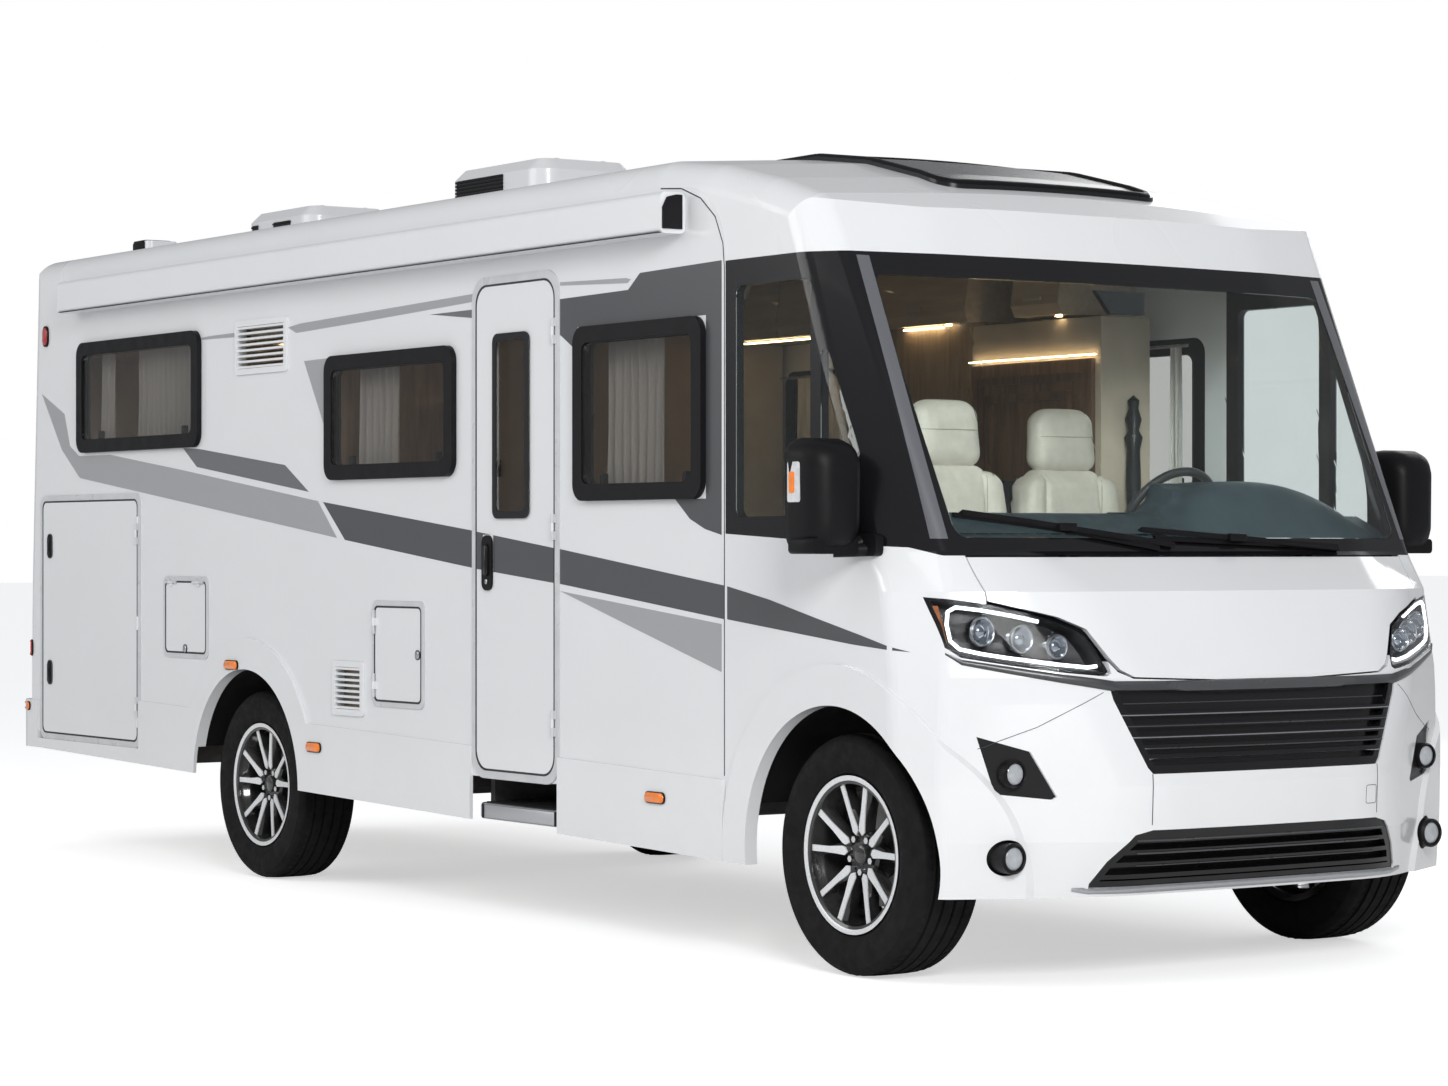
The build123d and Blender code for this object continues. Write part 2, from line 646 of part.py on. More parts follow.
front_region = block(BODY_SPLIT_X, NOSE_X + 100, -FAR, FAR, LIP_Z - 5, CAB_SILL_REAR_Z) - fender_region - frame_region
face = (cab_shell & front_region) + (cab_flare_layer & front_region & wheel_space(FRONT_AXLE_X, ARCH_RADIUS + FLARE_WIDTH) & block(BODY_SPLIT_X, from_front(600), -FAR, FAR, 0, CAB_SILL_REAR_Z))
face -= front_arch
face -= bonnet_hole
face -= upper_grille_prism
face -= lower_grille_prism
for tool in (headlamp_prism, fog_upper_prism, fog_lower_prism):
    face -= tool
    face -= mirrored(tool)
save("front_face", solids_of(face))

BONNET_THICKNESS = 22
bonnet = (cab_outer & bonnet_prism) - cab_form(BONNET_THICKNESS)
for lug in bonnet_lugs:
    bonnet += lug
save("bonnet", solids_of(bonnet))

LAMP_DEPTH_IN = 90
BACKING = 8
lamp_back = cab_form(LAMP_DEPTH_IN)
lined_inside = cab_form(WALL + BACKING)
inset_lamp = front_view(HEADLAMP_OUTLINE)
ahead_of_fender = block(FENDER_SEAM_TOP_X + 75, NOSE_X, -FAR, FAR, 0, HIGH)
housings = list(((cab_skin & (inset_lamp & ahead_of_fender)) - lamp_back).solids())
lenses = list(((cab_outer & inset_lamp) - cab_skin).solids())
for prism in (fog_upper_prism, fog_lower_prism):
    housings += list(((cab_skin & prism) - lined_inside).solids())
save("lamp_housings", both_sides(Compound(children=housings)))
save("headlamp_lenses", both_sides(Compound(children=lenses)))

# ---------------------------------------------------------------- grilles
GRILLE_FRAME = 26
UPPER_SLATS = (708, 737, 766, 801, 836)
LOWER_SLATS = (340, 378, 416, 452)
SLAT_HALF = 7


def grille(points, slats):
    """A surround that follows the nose, level slats inside it and a plate behind them."""
    face = outline(points)
    window = along(offset(face, -GRILLE_FRAME), from_front(300), from_front(1200))
    whole = along(face, from_front(300), from_front(1200))
    for z in slats:
        window -= block(FRONT_AXLE_X, NOSE_X + 500, -FAR, FAR, z - SLAT_HALF, z + SLAT_HALF)
    bars = (cab_skin & (whole - window)) - cab_inner
    return solids_of(bars + ((cab_inner & whole) - lined_inside))


save("front_grilles", Compound(children=[grille(UPPER_GRILLE_OUTLINE, UPPER_SLATS), grille(LOWER_GRILLE_OUTLINE, LOWER_SLATS)]))

# ---------------------------------------------------------------- skirts
entrance_rear_x = LEAVES["entrance_door"][2]
entrance_front_x = entrance_rear_x + LEAVES["entrance_door"][3]
garage_rear_x = LEAVES["garage_door_right"][2]
garage_front_x = garage_rear_x + LEAVES["garage_door_right"][3]
garage_foot = LEAVES["garage_door_right"][4]


def rear_flare(side):
    inner, outer = sorted((side * HALF_WIDTH, side * (HALF_WIDTH + FLARE)))
    return tube_y(REAR_AXLE_X, AXLE_Z, ARCH_RADIUS + FLARE_WIDTH, inner, outer)


def skirts(side, middle_breaks):
    """The skirts of one side: lengths beside the doors, fused with the rear arch's flare."""
    rear = rear_flare(side) + skirt_length(garage_front_x, REAR_AXLE_X, side)
    under_door = skirt_length(WALL_REAR_X, garage_front_x, side)
    rear += under_door & block(REAR_X, garage_front_x, -FAR, FAR, 0, garage_foot)
    rear += skirt_length(REAR_AXLE_X, middle_breaks[0], side)
    rear = (rear - rear_arch) & over_foot
    pieces = list(solids_of(rear).solids())
    if len(middle_breaks) > 1:
        pieces += list(skirt_length(middle_breaks[1], BODY_SPLIT_X, side).solids())
    return pieces


skirt_pieces = skirts(-1, (entrance_rear_x, entrance_front_x)) + skirts(1, (BODY_SPLIT_X,))
save("side_skirts", Compound(children=skirt_pieces))

BUMPER_TOP_Z = 655
BUMPER_FOOT_Z = 440
BUMPER_DEPTH = 45
outer_half = HALF_WIDTH + FLARE
bumper_plan = outline([(WALL_REAR_X, -outer_half), (REAR_X, -outer_half), (REAR_X, outer_half), (WALL_REAR_X, outer_half)],
                      [0, REAR_CORNER_RADIUS + FLARE, REAR_CORNER_RADIUS + FLARE, 0])
inner_bumper_half = HALF_WIDTH - 20
bumper_hollow = outline([(WALL_REAR_X + 1, -inner_bumper_half), (REAR_X + BUMPER_DEPTH, -inner_bumper_half),
                         (REAR_X + BUMPER_DEPTH, inner_bumper_half), (WALL_REAR_X + 1, inner_bumper_half)], [0, 60, 60, 0])
bumper = upward(bumper_plan, BUMPER_FOOT_Z, BUMPER_TOP_Z) - upward(bumper_hollow, 0, HIGH) - living_outer
save("rear_bumper", solids_of(bumper))

# ---------------------------------------------------------------- rear lamps
LAMP_HALF_Y = 985
LAMP_WIDTH = 110
LAMP_FOOT_Z = 860
LAMP_HEIGHT = 420
LAMP_DEPTH = 30
rear_lamps = []
for side in (-1, 1):
    lamp = Pos(0, side * LAMP_HALF_Y, LAMP_FOOT_Z + LAMP_HEIGHT / 2) * extrude(Plane.YZ * RectangleRounded(LAMP_WIDTH, LAMP_HEIGHT, 40), 140)
    lamp = Pos(REAR_X + 22, 0, 0) * lamp
    rear_lamps += list((lamp - living_outer).solids())
rear_lamps = [solid for solid in rear_lamps if solid.volume > 1000]
save("tail_lamps", Compound(children=rear_lamps))

# ---------------------------------------------------------------- roof fittings
ROOF_LIGHT = [(from_front(-1600), -440), (from_front(-1600), 440), (from_front(-250), 475), (from_front(-250), -475)]
roof_light_prism = upward(outline(ROOF_LIGHT, [60, 60, 90, 90]), 2300, HIGH)
roof_light = (living_flare_layer & roof_light_prism) + (cab_flare_layer & roof_light_prism)
save("roof_light", solids_of(roof_light))

# Roof units. Columns: rear end ahead of the rear axle, length, width, height.
ROOF_UNITS = [
    (from_rear(110), 740, 480, 195),
    (from_rear(-1800), 640, 440, 165),
]
roof_units = []
for x, length, width, height in ROOF_UNITS:
    base_z = ROOF_SHOULDER_Z
    body = block(x, x + length, -width / 2, width / 2, base_z, ROOF_SHOULDER_Z + ROOF_CROWN + height)
    body = fillet(body.edges().filter_by(Axis.Z), 90)
    body = chamfer(body.faces().sort_by(Axis.Z)[-1].edges(), 45)
    roof_units += list((body - living_outer).solids())
CAP_SIZE = 150
vent_cap = block(from_rear(-1750), from_rear(-1750) + CAP_SIZE, -800, -800 + CAP_SIZE, ROOF_SHOULDER_Z - 10, ROOF_SHOULDER_Z + 85)
roof_units += list((fillet(vent_cap.edges().filter_by(Axis.Z), 30) - living_outer).solids())
save("roof_units", Compound(children=roof_units))

# ---------------------------------------------------------------- awning
AWNING_REAR_X = from_rear(-1666)
AWNING_FRONT_X = from_front(-837)
AWNING_FOOT_Z = 2385
AWNING_HEIGHT = 137
AWNING_DEPTH = 100
awning_profile = rounded(-HALF_WIDTH - AWNING_DEPTH, -HALF_WIDTH, AWNING_FOOT_Z, AWNING_FOOT_Z + AWNING_HEIGHT, 20)
awning = along(awning_profile, AWNING_REAR_X, AWNING_FRONT_X)
save("awning_cassette", awning)

# ---------------------------------------------------------------- mirrors
MIRROR_X = from_front(105)
MIRROR_Y = 1235
MIRROR_FOOT_Z = 1318
MIRROR_HEIGHT = 365
MIRROR_WIDTH = 205
MIRROR_DEPTH = 120
housing = Pos(MIRROR_X, -MIRROR_Y, MIRROR_FOOT_Z + MIRROR_HEIGHT / 2) * Box(MIRROR_DEPTH, MIRROR_WIDTH, MIRROR_HEIGHT)
housing = fillet(housing.edges().filter_by(Axis.X), 45)
housing = chamfer(housing.faces().sort_by(Axis.X)[-1].edges(), 22)
arm = block(MIRROR_X + 20, MIRROR_X + 115, -MIRROR_Y + 40, -INNER_HALF, MIRROR_FOOT_Z + 22, MIRROR_FOOT_Z + 62)
mirror_right = (housing + arm) - cab_outer
save("mirrors", both_sides(solids_of(mirror_right, 100000)))

# ---------------------------------------------------------------- wipers
WIPER_WIDTH = 16
# Columns: clip and tip points in front view, one row per wiper.
WIPERS = [
    ((-923, 1445), (-307, 1369), (-604, 1412), (-191, 1345)),
    ((-196, 1375), (486, 1350), (174, 1368), (600, 1345)),
]


def strip(a, b, width):
    dy, dz = b[0] - a[0], b[1] - a[1]
    length = math.hypot(dy, dz)
    ny, nz = -dz / length * width / 2, dy / length * width / 2
    return front_view([(a[0] + ny, a[1] + nz), (b[0] + ny, b[1] + nz), (b[0] - ny, b[1] - nz), (a[0] - ny, a[1] - nz)])


wipers = []
for tip_a, tip_b, clip, pivot in WIPERS:
    tool = strip(tip_a, tip_b, WIPER_WIDTH) + strip(clip, pivot, WIPER_WIDTH + 6)
    wipers += list(solids_of(cab_flare_layer & tool).solids())
save("wipers", Compound(children=wipers))

# ---------------------------------------------------------------- chassis
RAIL_FRONT_X = from_front(560)
RAIL_REAR_X = REAR_X + 150
CROSS_WIDTH = 60
STEP_WIDTH = 540
STEP_REAR_X = from_front(-2182)
STEP_TRAVEL = 260
STEP_DEPTH = 380
STEP_FOOT_Z = 362
STEP_THICKNESS = 60
RUNNER = 30

# Places of the cross members ahead of the front axle, then ahead of the rear axle.
CROSS_FROM_FRONT = (500, -620, -1500, -2320)
CROSS_FROM_REAR = (700, -700, -1500)


def rail_block(x0, x1, y0, y1):
    return block(x0, x1, y0, y1, RAIL_BOTTOM, FLOOR_BOTTOM)


chassis = rail_block(RAIL_REAR_X, RAIL_FRONT_X, -RAIL_HALF - RAIL_WIDTH / 2, -RAIL_HALF + RAIL_WIDTH / 2)
chassis += mirrored(chassis)
cross_places = [from_front(x) for x in CROSS_FROM_FRONT] + [from_rear(x) for x in CROSS_FROM_REAR]
for x in cross_places:
    chassis += rail_block(x - CROSS_WIDTH / 2, x + CROSS_WIDTH / 2, -RAIL_HALF, RAIL_HALF)

# Outriggers that carry the skirts and, on the right, the step's two runners.
OUTRIGGER_FROM_FRONT = (-620, -1500, -2320)
OUTRIGGER_FROM_REAR = (700, -700, -1500)
outrigger_places = [from_front(x) for x in OUTRIGGER_FROM_FRONT] + [from_rear(x) for x in OUTRIGGER_FROM_REAR]
for x in outrigger_places:
    chassis += block(x - 20, x + 20, -INNER_HALF, INNER_HALF, FLOOR_BOTTOM - 50, FLOOR_BOTTOM)

# Tow bar: a cross tube at the rear with a plate for a four-bolt ball.
TOW_PLATE_X = REAR_X + 20
TOW_PLATE_THICKNESS = 10
TOW_PLATE_WIDTH = 140
TOW_PLATE_HEIGHT = 90
TOW_PLATE_Z = 370
TOW_SPACING_Y = 83
TOW_SPACING_Z = 56
TOW_HOLE_RADIUS = 8.5
chassis += block(RAIL_REAR_X, RAIL_REAR_X + 60, -RAIL_HALF, RAIL_HALF, TOW_PLATE_Z - 30, RAIL_BOTTOM + 40)
chassis += block(TOW_PLATE_X + TOW_PLATE_THICKNESS, RAIL_REAR_X, -18, 18, TOW_PLATE_Z - 25, TOW_PLATE_Z + 25)
tow_plate = block(TOW_PLATE_X, TOW_PLATE_X + TOW_PLATE_THICKNESS, -TOW_PLATE_WIDTH / 2, TOW_PLATE_WIDTH / 2,
                  TOW_PLATE_Z - TOW_PLATE_HEIGHT / 2, TOW_PLATE_Z + TOW_PLATE_HEIGHT / 2)
for y in (-TOW_SPACING_Y / 2, TOW_SPACING_Y / 2):
    for z in (TOW_PLATE_Z - TOW_SPACING_Z / 2, TOW_PLATE_Z + TOW_SPACING_Z / 2):
        tow_plate -= Pos(TOW_PLATE_X, y, z) * Rot(0, 90, 0) * Cylinder(TOW_HOLE_RADIUS, 60)
chassis += tow_plate

# The entry step slides out between two channel runners.
step_front_x = STEP_REAR_X + STEP_WIDTH
STEP_OUTER_Y = -HALF_WIDTH + 4
step = block(STEP_REAR_X, step_front_x, STEP_OUTER_Y, STEP_OUTER_Y + STEP_DEPTH, STEP_FOOT_Z, STEP_FOOT_Z + STEP_THICKNESS)
step -= block(STEP_REAR_X + 30, step_front_x - 30, STEP_OUTER_Y + 30, STEP_OUTER_Y + STEP_DEPTH - 30, STEP_FOOT_Z - 5, STEP_FOOT_Z + STEP_THICKNESS - 12)
step = fillet(step.faces().sort_by(Axis.Y)[0].edges().filter_by(Axis.X), 14)
save("entry_step", step)
for edge, hand in ((STEP_REAR_X, -1), (step_front_x, 1)):
    inner_x = edge + hand * SEAT
    outer_x = edge + hand * RUNNER
    x0, x1 = sorted((inner_x, outer_x))
    chassis += block(x0, x1, STEP_OUTER_Y + 60, STEP_OUTER_Y + STEP_DEPTH + 30, STEP_FOOT_Z, FLOOR_BOTTOM)
runner_tie = block(STEP_REAR_X - RUNNER, step_front_x + RUNNER, STEP_OUTER_Y + STEP_DEPTH + 6, -RAIL_HALF, FLOOR_BOTTOM - 50, FLOOR_BOTTOM)
chassis += runner_tie
save("chassis_frame", solids_of(chassis))

# ---------------------------------------------------------------- front suspension
ARM_FOOT_Z = AXLE_Z - 142
ARM_THICKNESS = 36
KNUCKLE_FOOT_Z = ARM_FOOT_Z + ARM_THICKNESS + SEAT
KNUCKLE_TOP_Z = AXLE_Z + 150
PIN_LENGTH = 36
STRUT_RADIUS = 28
TOWER_Z = 848
TOWER_THICKNESS = 36
subframe = block(from_front(-90), from_front(90), -RAIL_HALF - 40, RAIL_HALF + 40, ARM_FOOT_Z, RAIL_BOTTOM - 70)
for side in (-1, 1):
    y0, y1 = sorted((side * RAIL_HALF, side * (KINGPIN_HALF + 30)))
    subframe += block(from_front(-45), from_front(45), y0, y1, ARM_FOOT_Z, ARM_FOOT_Z + ARM_THICKNESS)
    subframe += tube_z(FRONT_AXLE_X, side * KINGPIN_HALF, PIN_RADIUS, ARM_FOOT_Z + 2, KNUCKLE_FOOT_Z + PIN_LENGTH)
    post0, post1 = sorted((side * (RAIL_HALF - 30), side * (RAIL_HALF + 30)))
    subframe += block(from_front(-60), from_front(60), post0, post1, ARM_FOOT_Z, RAIL_BOTTOM)
    tower0, tower1 = sorted((side * (RAIL_HALF - 30), side * (KINGPIN_HALF + 40)))
    top = block(from_front(-60), from_front(60), tower0, tower1, TOWER_Z, TOWER_Z + TOWER_THICKNESS)
    inner_post = block(from_front(-60), from_front(60), post0, post1, FLOOR_BOTTOM, TOWER_Z)
    strut = tube_z(FRONT_AXLE_X, side * KINGPIN_HALF, STRUT_RADIUS, KNUCKLE_TOP_Z + SEAT, TOWER_Z)
    strut += tube_z(FRONT_AXLE_X, side * KINGPIN_HALF, PIN_RADIUS, KNUCKLE_TOP_Z - PIN_LENGTH, KNUCKLE_TOP_Z + 5)
    subframe = Compound(children=list(subframe.solids()) + list((top + inner_post + strut).solids()))
save("front_suspension", subframe)

SPINDLE_END_HALF = TRACK / 2 + 30
for name, side in (("knuckle_right", -1), ("knuckle_left", 1)):
    y0, y1 = sorted((side * (KINGPIN_HALF - 32), side * (KINGPIN_HALF + 32)))
    knuckle = block(from_front(-36), from_front(36), y0, y1, KNUCKLE_FOOT_Z, KNUCKLE_TOP_Z)
    spindle0, spindle1 = sorted((side * (KINGPIN_HALF + 20), side * SPINDLE_END_HALF))
    knuckle += tube_y(FRONT_AXLE_X, AXLE_Z, SPINDLE_RADIUS, spindle0, spindle1)
    bore = tube_z(FRONT_AXLE_X, side * KINGPIN_HALF, PIN_RADIUS + RUNNING, KNUCKLE_FOOT_Z - 1, KNUCKLE_FOOT_Z + PIN_LENGTH + 2)
    knuckle -= bore
    knuckle -= tube_z(FRONT_AXLE_X, side * KINGPIN_HALF, PIN_RADIUS + RUNNING, KNUCKLE_TOP_Z - PIN_LENGTH - 2, KNUCKLE_TOP_Z + 1)
    save(name, knuckle)

# ---------------------------------------------------------------- rear axle
AXLE_TUBE_RADIUS = 48
AXLE_TUBE_AHEAD = 190
ARM_HALF = 715
axle_tube_z = RAIL_BOTTOM - AXLE_TUBE_RADIUS
rear_axle = tube_y(REAR_AXLE_X + AXLE_TUBE_AHEAD, axle_tube_z, AXLE_TUBE_RADIUS, -ARM_HALF - 20, ARM_HALF + 20)
for side in (-1, 1):
    arm = block(REAR_AXLE_X, REAR_AXLE_X + AXLE_TUBE_AHEAD, side * ARM_HALF - 20, side * ARM_HALF + 20, AXLE_Z - 40, AXLE_Z + 20)
    arm += tube_y(REAR_AXLE_X, AXLE_Z - 5, 55, side * ARM_HALF - 20, side * ARM_HALF + 20)
    spindle0, spindle1 = sorted((side * ARM_HALF, side * SPINDLE_END_HALF))
    arm += tube_y(REAR_AXLE_X, AXLE_Z, SPINDLE_RADIUS, spindle0, spindle1)
    pad = block(REAR_AXLE_X + AXLE_TUBE_AHEAD - 60, REAR_AXLE_X + AXLE_TUBE_AHEAD + 60, side * RAIL_HALF - 30, side * RAIL_HALF + 30,
                axle_tube_z, RAIL_BOTTOM)
    rear_axle += arm + pad
save("rear_axle", solids_of(rear_axle))

# ---------------------------------------------------------------- drive and tanks
ENGINE_FRONT_X = from_front(440)
engine = block(from_front(110), ENGINE_FRONT_X, -370, 370, 330, 880)
engine_mounts = block(from_front(200), from_front(300), -RAIL_HALF + RAIL_WIDTH / 2, RAIL_HALF - RAIL_WIDTH / 2, RAIL_BOTTOM + 10, FLOOR_BOTTOM)
save("engine_block", engine + engine_mounts)

TANK_FOOT_Z = 330
waste_tank = block(from_rear(760), from_front(-2380), -360, 360, TANK_FOOT_Z, FLOOR_BOTTOM)
fuel_tank = block(from_front(-1450), from_front(-700), 480, 950, TANK_FOOT_Z, FLOOR_BOTTOM)
tanks = [fillet(tank.edges().filter_by(Axis.Z), 40) for tank in (waste_tank, fuel_tank)]
save("tanks", Compound(children=tanks))

# ---------------------------------------------------------------- wheel arch liners
liners = []
for x, well, inside in ((REAR_AXLE_X, WELL_HALF, living_inner), (FRONT_AXLE_X, 562, cab_inner)):
    tunnel = tube_y(x, AXLE_Z, LINER_RADIUS + LINER_THICKNESS - SEAT, -FAR, -well - SEAT)
    tunnel -= tube_y(x, AXLE_Z, LINER_RADIUS, -FAR, -well - LINER_THICKNESS)
    tunnel &= block(x - 600, x + 600, -FAR, 0, FLOOR_BOTTOM, HIGH)
    if x == FRONT_AXLE_X:
        tunnel -= tube_y(x, AXLE_Z, LINER_RADIUS, -FAR, 0)
        tunnel -= block(x - 70, x + 70, -FAR, 0, 0, HIGH) & block(x - 70, x + 70, -KINGPIN_HALF - 60, 0, 0, HIGH)
    liners += list((tunnel & inside).solids())
liners = [solid for solid in liners if solid.volume > 1000]
save("wheel_arch_liners", both_sides(Compound(children=liners)))

# ---------------------------------------------------------------- wheels
FLANGE_RADIUS = RIM_RADIUS + 20
FLANGE_THICKNESS = 10
BEAD_HALF = 103
BARREL_WALL = 7
# Points: radius, distance outward from the wheel's middle plane.
RIM_SIDE = [
    (RIM_RADIUS - BARREL_WALL, BEAD_HALF + FLANGE_THICKNESS - 2), (FLANGE_RADIUS, BEAD_HALF + FLANGE_THICKNESS),
    (FLANGE_RADIUS, BEAD_HALF), (RIM_RADIUS, BEAD_HALF),
]
RIM_PROFILE = RIM_SIDE + [(radius, -out) for radius, out in RIM_SIDE[::-1]]
TYRE_HALF = TYRE_WIDTH / 2
TYRE_SIDE = [
    (RIM_RADIUS + SEAT, BEAD_HALF - 20), (RIM_RADIUS + SEAT, BEAD_HALF - SEAT), (FLANGE_RADIUS + 2, BEAD_HALF - SEAT),
    (305, TYRE_HALF), (356, TYRE_HALF - 6), (TYRE_RADIUS, TYRE_HALF - 34),
]
CARCASS_RADIUS = TYRE_RADIUS - 16
TYRE_PROFILE = TYRE_SIDE + [(radius, -out) for radius, out in TYRE_SIDE[::-1]]
TYRE_PROFILE += [(CARCASS_RADIUS, 45 - TYRE_HALF), (CARCASS_RADIUS, TYRE_HALF - 45)]
SPOKE_PAIRS = 5
SPOKE_FACE = 96
SPOKE_BACK = 62
ARM_ANGLES = (13.5, 19.5)       # the two edges of an arm's tip, from the middle of its pair
ARM_TIP_RADIUS = RIM_RADIUS - BARREL_WALL / 2
ROOT_HALF = 26                  # half width of a pair where it leaves the hub
FORK = (112, 8)                 # radius and half width of the bottom of the fork
FORK_RADIUS = 7
HUB_RADIUS = 72
DISC_RADIUS = 150


def spun(profile):
    """A ring about the Y axis from a profile of (radius, distance outward)."""
    return revolve(outline(profile), Axis.Y, 360)


def arm_tip(angle):
    """A point inside the barrel's wall, at an angle from the middle of a pair of arms."""
    turn = math.radians(angle)
    return (ARM_TIP_RADIUS * math.cos(turn), ARM_TIP_RADIUS * math.sin(turn))


def spoke_pair():
    """Two arms that leave the hub as one and fork towards the barrel, as one flat plate."""
    half = [(HUB_RADIUS - 20, ROOT_HALF), arm_tip(ARM_ANGLES[1]), arm_tip(ARM_ANGLES[0]), FORK]
    points = half + [(x, -y) for x, y in half[::-1]]
    flat = outline(points)
    fork_corners = flat.vertices().filter_by_position(Axis.X, FORK[0] - 1, FORK[0] + 1)
    flat = fillet(fork_corners, FORK_RADIUS)
    plate = extrude(Plane.XZ * flat, SPOKE_BACK - SPOKE_FACE)
    return Pos(0, SPOKE_BACK, 0) * plate


def rim_solid():
    """Barrel, five forked spokes, hub with brake disc and the spindle's bore, facing +Y."""
    rim = spun(RIM_PROFILE)
    hub = Rot(90, 0, 0) * Cylinder(HUB_RADIUS, 150)
    rim += Pos(0, SPOKE_FACE - 8 - 75, 0) * hub
    rim += Pos(0, -38, 0) * Rot(90, 0, 0) * Cylinder(DISC_RADIUS, 24)
    pair = spoke_pair()
    for number in range(SPOKE_PAIRS):
        rim += Rot(0, number * 360 / SPOKE_PAIRS - 90, 0) * pair
    bore = Pos(0, 0, 0) * Rot(90, 0, 0) * Cylinder(SPINDLE_RADIUS + RUNNING, 2 * (SPINDLE_END_HALF - TRACK / 2 + SEAT))
    mouth = Pos(0, -100, 0) * Rot(90, 0, 0) * Cylinder(SPINDLE_RADIUS + RUNNING, 200)
    return rim - bore - mouth


rim = rim_solid()
tyre = spun(TYRE_PROFILE)
# Columns: name, axle position, side.
WHEELS = [
    ("front_right", FRONT_AXLE_X, -1),
    ("front_left", FRONT_AXLE_X, 1),
    ("rear_right", REAR_AXLE_X, -1),
    ("rear_left", REAR_AXLE_X, 1),
]
for name, x, side in WHEELS:
    turn = Rot(0, 0, 0) if side > 0 else Rot(0, 0, 180)
    place = Pos(x, side * TRACK / 2, AXLE_Z) * turn
    save("rim_" + name, place * rim)
    save("tyre_" + name, place * tyre)

# ---------------------------------------------------------------- opening leaves
door_hole = [from_front(-2071), 247, 1451, 661]
DOOR_WINDOW_RADIUS = 30
HANDLE = [from_front(-2150), 70, 1190, 200]
door = leaf_solids["entrance_door"] - wall_sheet(door_hole, 0, DOOR_WINDOW_RADIUS, 60, -WALL - 20)
door -= wall_sheet(HANDLE, 0, 30, LEAF_PROUD + 5, -14)
save("entrance_door", door)
door_window = wall_sheet(door_hole, SEAT, DOOR_WINDOW_RADIUS - SEAT, LEAF_PROUD + 4, -WALL)
handle = wall_sheet(HANDLE, SEAT, 30 - SEAT, LEAF_PROUD + 8, -14 + SEAT)
save("entrance_door_window", door_window)
save("entrance_door_handle", handle)
for name in ("garage_door_right", "garage_door_left", "service_hatch_rear", "service_hatch_front"):
    save(name, leaf_solids[name])

# ---------------------------------------------------------------- cab inside
DASH_PROFILE = [
    (from_front(350), 1325), (from_front(60), 1452), (from_front(-70), 1458), (from_front(-110), 1420),
    (from_front(-90), 1230), (from_front(70), 1080), (from_front(90), 940), (from_front(210), 940), (from_front(210), 1215),
    (from_front(290), 1285),
]
WHEEL_Y = 420
WHEEL_X = from_front(-170)
WHEEL_Z = 1440
STEERING_RADIUS = 190
GRIP_RADIUS = 14
COLUMN_TILT = 30
dash = across(outline(DASH_PROFILE, 20), -FAR, FAR) & cab_inner
binnacle = across(outline([(from_front(-70), 1430), (from_front(110), 1400), (from_front(60), 1530), (from_front(-50), 1560)], 18),
                  WHEEL_Y - 190, WHEEL_Y + 190)
column_place = Plane(origin=(WHEEL_X, WHEEL_Y, WHEEL_Z), x_dir=(0, 1, 0),
                     z_dir=(-math.cos(math.radians(COLUMN_TILT)), 0, math.sin(math.radians(COLUMN_TILT))))
column = column_place * (Pos(0, 0, -80 - SEAT - 20) * Cylinder(32, 160 - 40))
column_pin = column_place * (Pos(0, 0, -30) * Cylinder(10, 60))
dash += binnacle + column + column_pin
save("dashboard", solids_of(dash))

grip_section = Plane.XZ * (Pos(STEERING_RADIUS, 0) * RegularPolygon(GRIP_RADIUS, 8))
grip = revolve(grip_section, Axis.Z, 360)
boss = Cylinder(55, 40)
steering_wheel = grip + boss + Box(34, 2 * STEERING_RADIUS, 14)
steering_wheel -= Cylinder(10 + RUNNING, 200)
save("steering_wheel", column_place * steering_wheel)

# Cab seats. Columns: seat back ahead of the front axle, sideways place.
SEATS = [(-420, -420), (-820, 420)]
SEAT_WIDTH = 500
CUSHION_TOP_Z = 1050
CUSHION_THICKNESS = 130
seat_solids = []
pedestals = []
for back, y in SEATS:
    x = from_front(back)
    cushion = block(x, x + 430, y - SEAT_WIDTH / 2, y + SEAT_WIDTH / 2, CUSHION_TOP_Z - CUSHION_THICKNESS, CUSHION_TOP_Z)
    cushion = chamfer(cushion.edges(), 25)
    back_profile = [(x - 20, CUSHION_TOP_Z - 60), (x + 110, CUSHION_TOP_Z - 60), (x + 30, 1600), (x - 80, 1600)]
    backrest = across(outline(back_profile, 30), y - SEAT_WIDTH / 2 + 10, y + SEAT_WIDTH / 2 - 10)
    head = block(x - 90, x + 15, y - 135, y + 135, 1590, 1815)
    head = chamfer(head.edges(), 25)
    seat_solids.append(cushion + backrest + head)
    pedestals.append(block(x + 60, x + 330, y - 130, y + 130, FLOOR_TOP, CUSHION_TOP_Z - CUSHION_THICKNESS))
save("cab_seats", Compound(children=seat_solids))
save("seat_pedestals", Compound(children=pedestals))

# ---------------------------------------------------------------- living space
kitchen = block(from_front(-3330), from_front(-2330), -INNER_HALF + SEAT, -560, FLOOR_TOP, 1460)
wardrobe = block(from_front(-2420), from_front(-1600), 760, INNER_HALF - SEAT, FLOOR_TOP, 2200)
bench = block(from_front(-1560), from_front(-1060), 560, INNER_HALF - SEAT, FLOOR_TOP, 1000)
partition = block(from_rear(600), from_rear(630), -INNER_HALF + SEAT, -330, FLOOR_TOP, 2500)
partition_left = block(from_rear(600), from_rear(630), 330, INNER_HALF - SEAT, FLOOR_TOP, 2500)
bed = block(WALL_REAR_X + 60, from_rear(-560), -INNER_HALF + SEAT, INNER_HALF - SEAT, 1610, 1750)
save("cabin_furniture", Compound(children=[kitchen, wardrobe, bench, partition, partition_left, bed]))
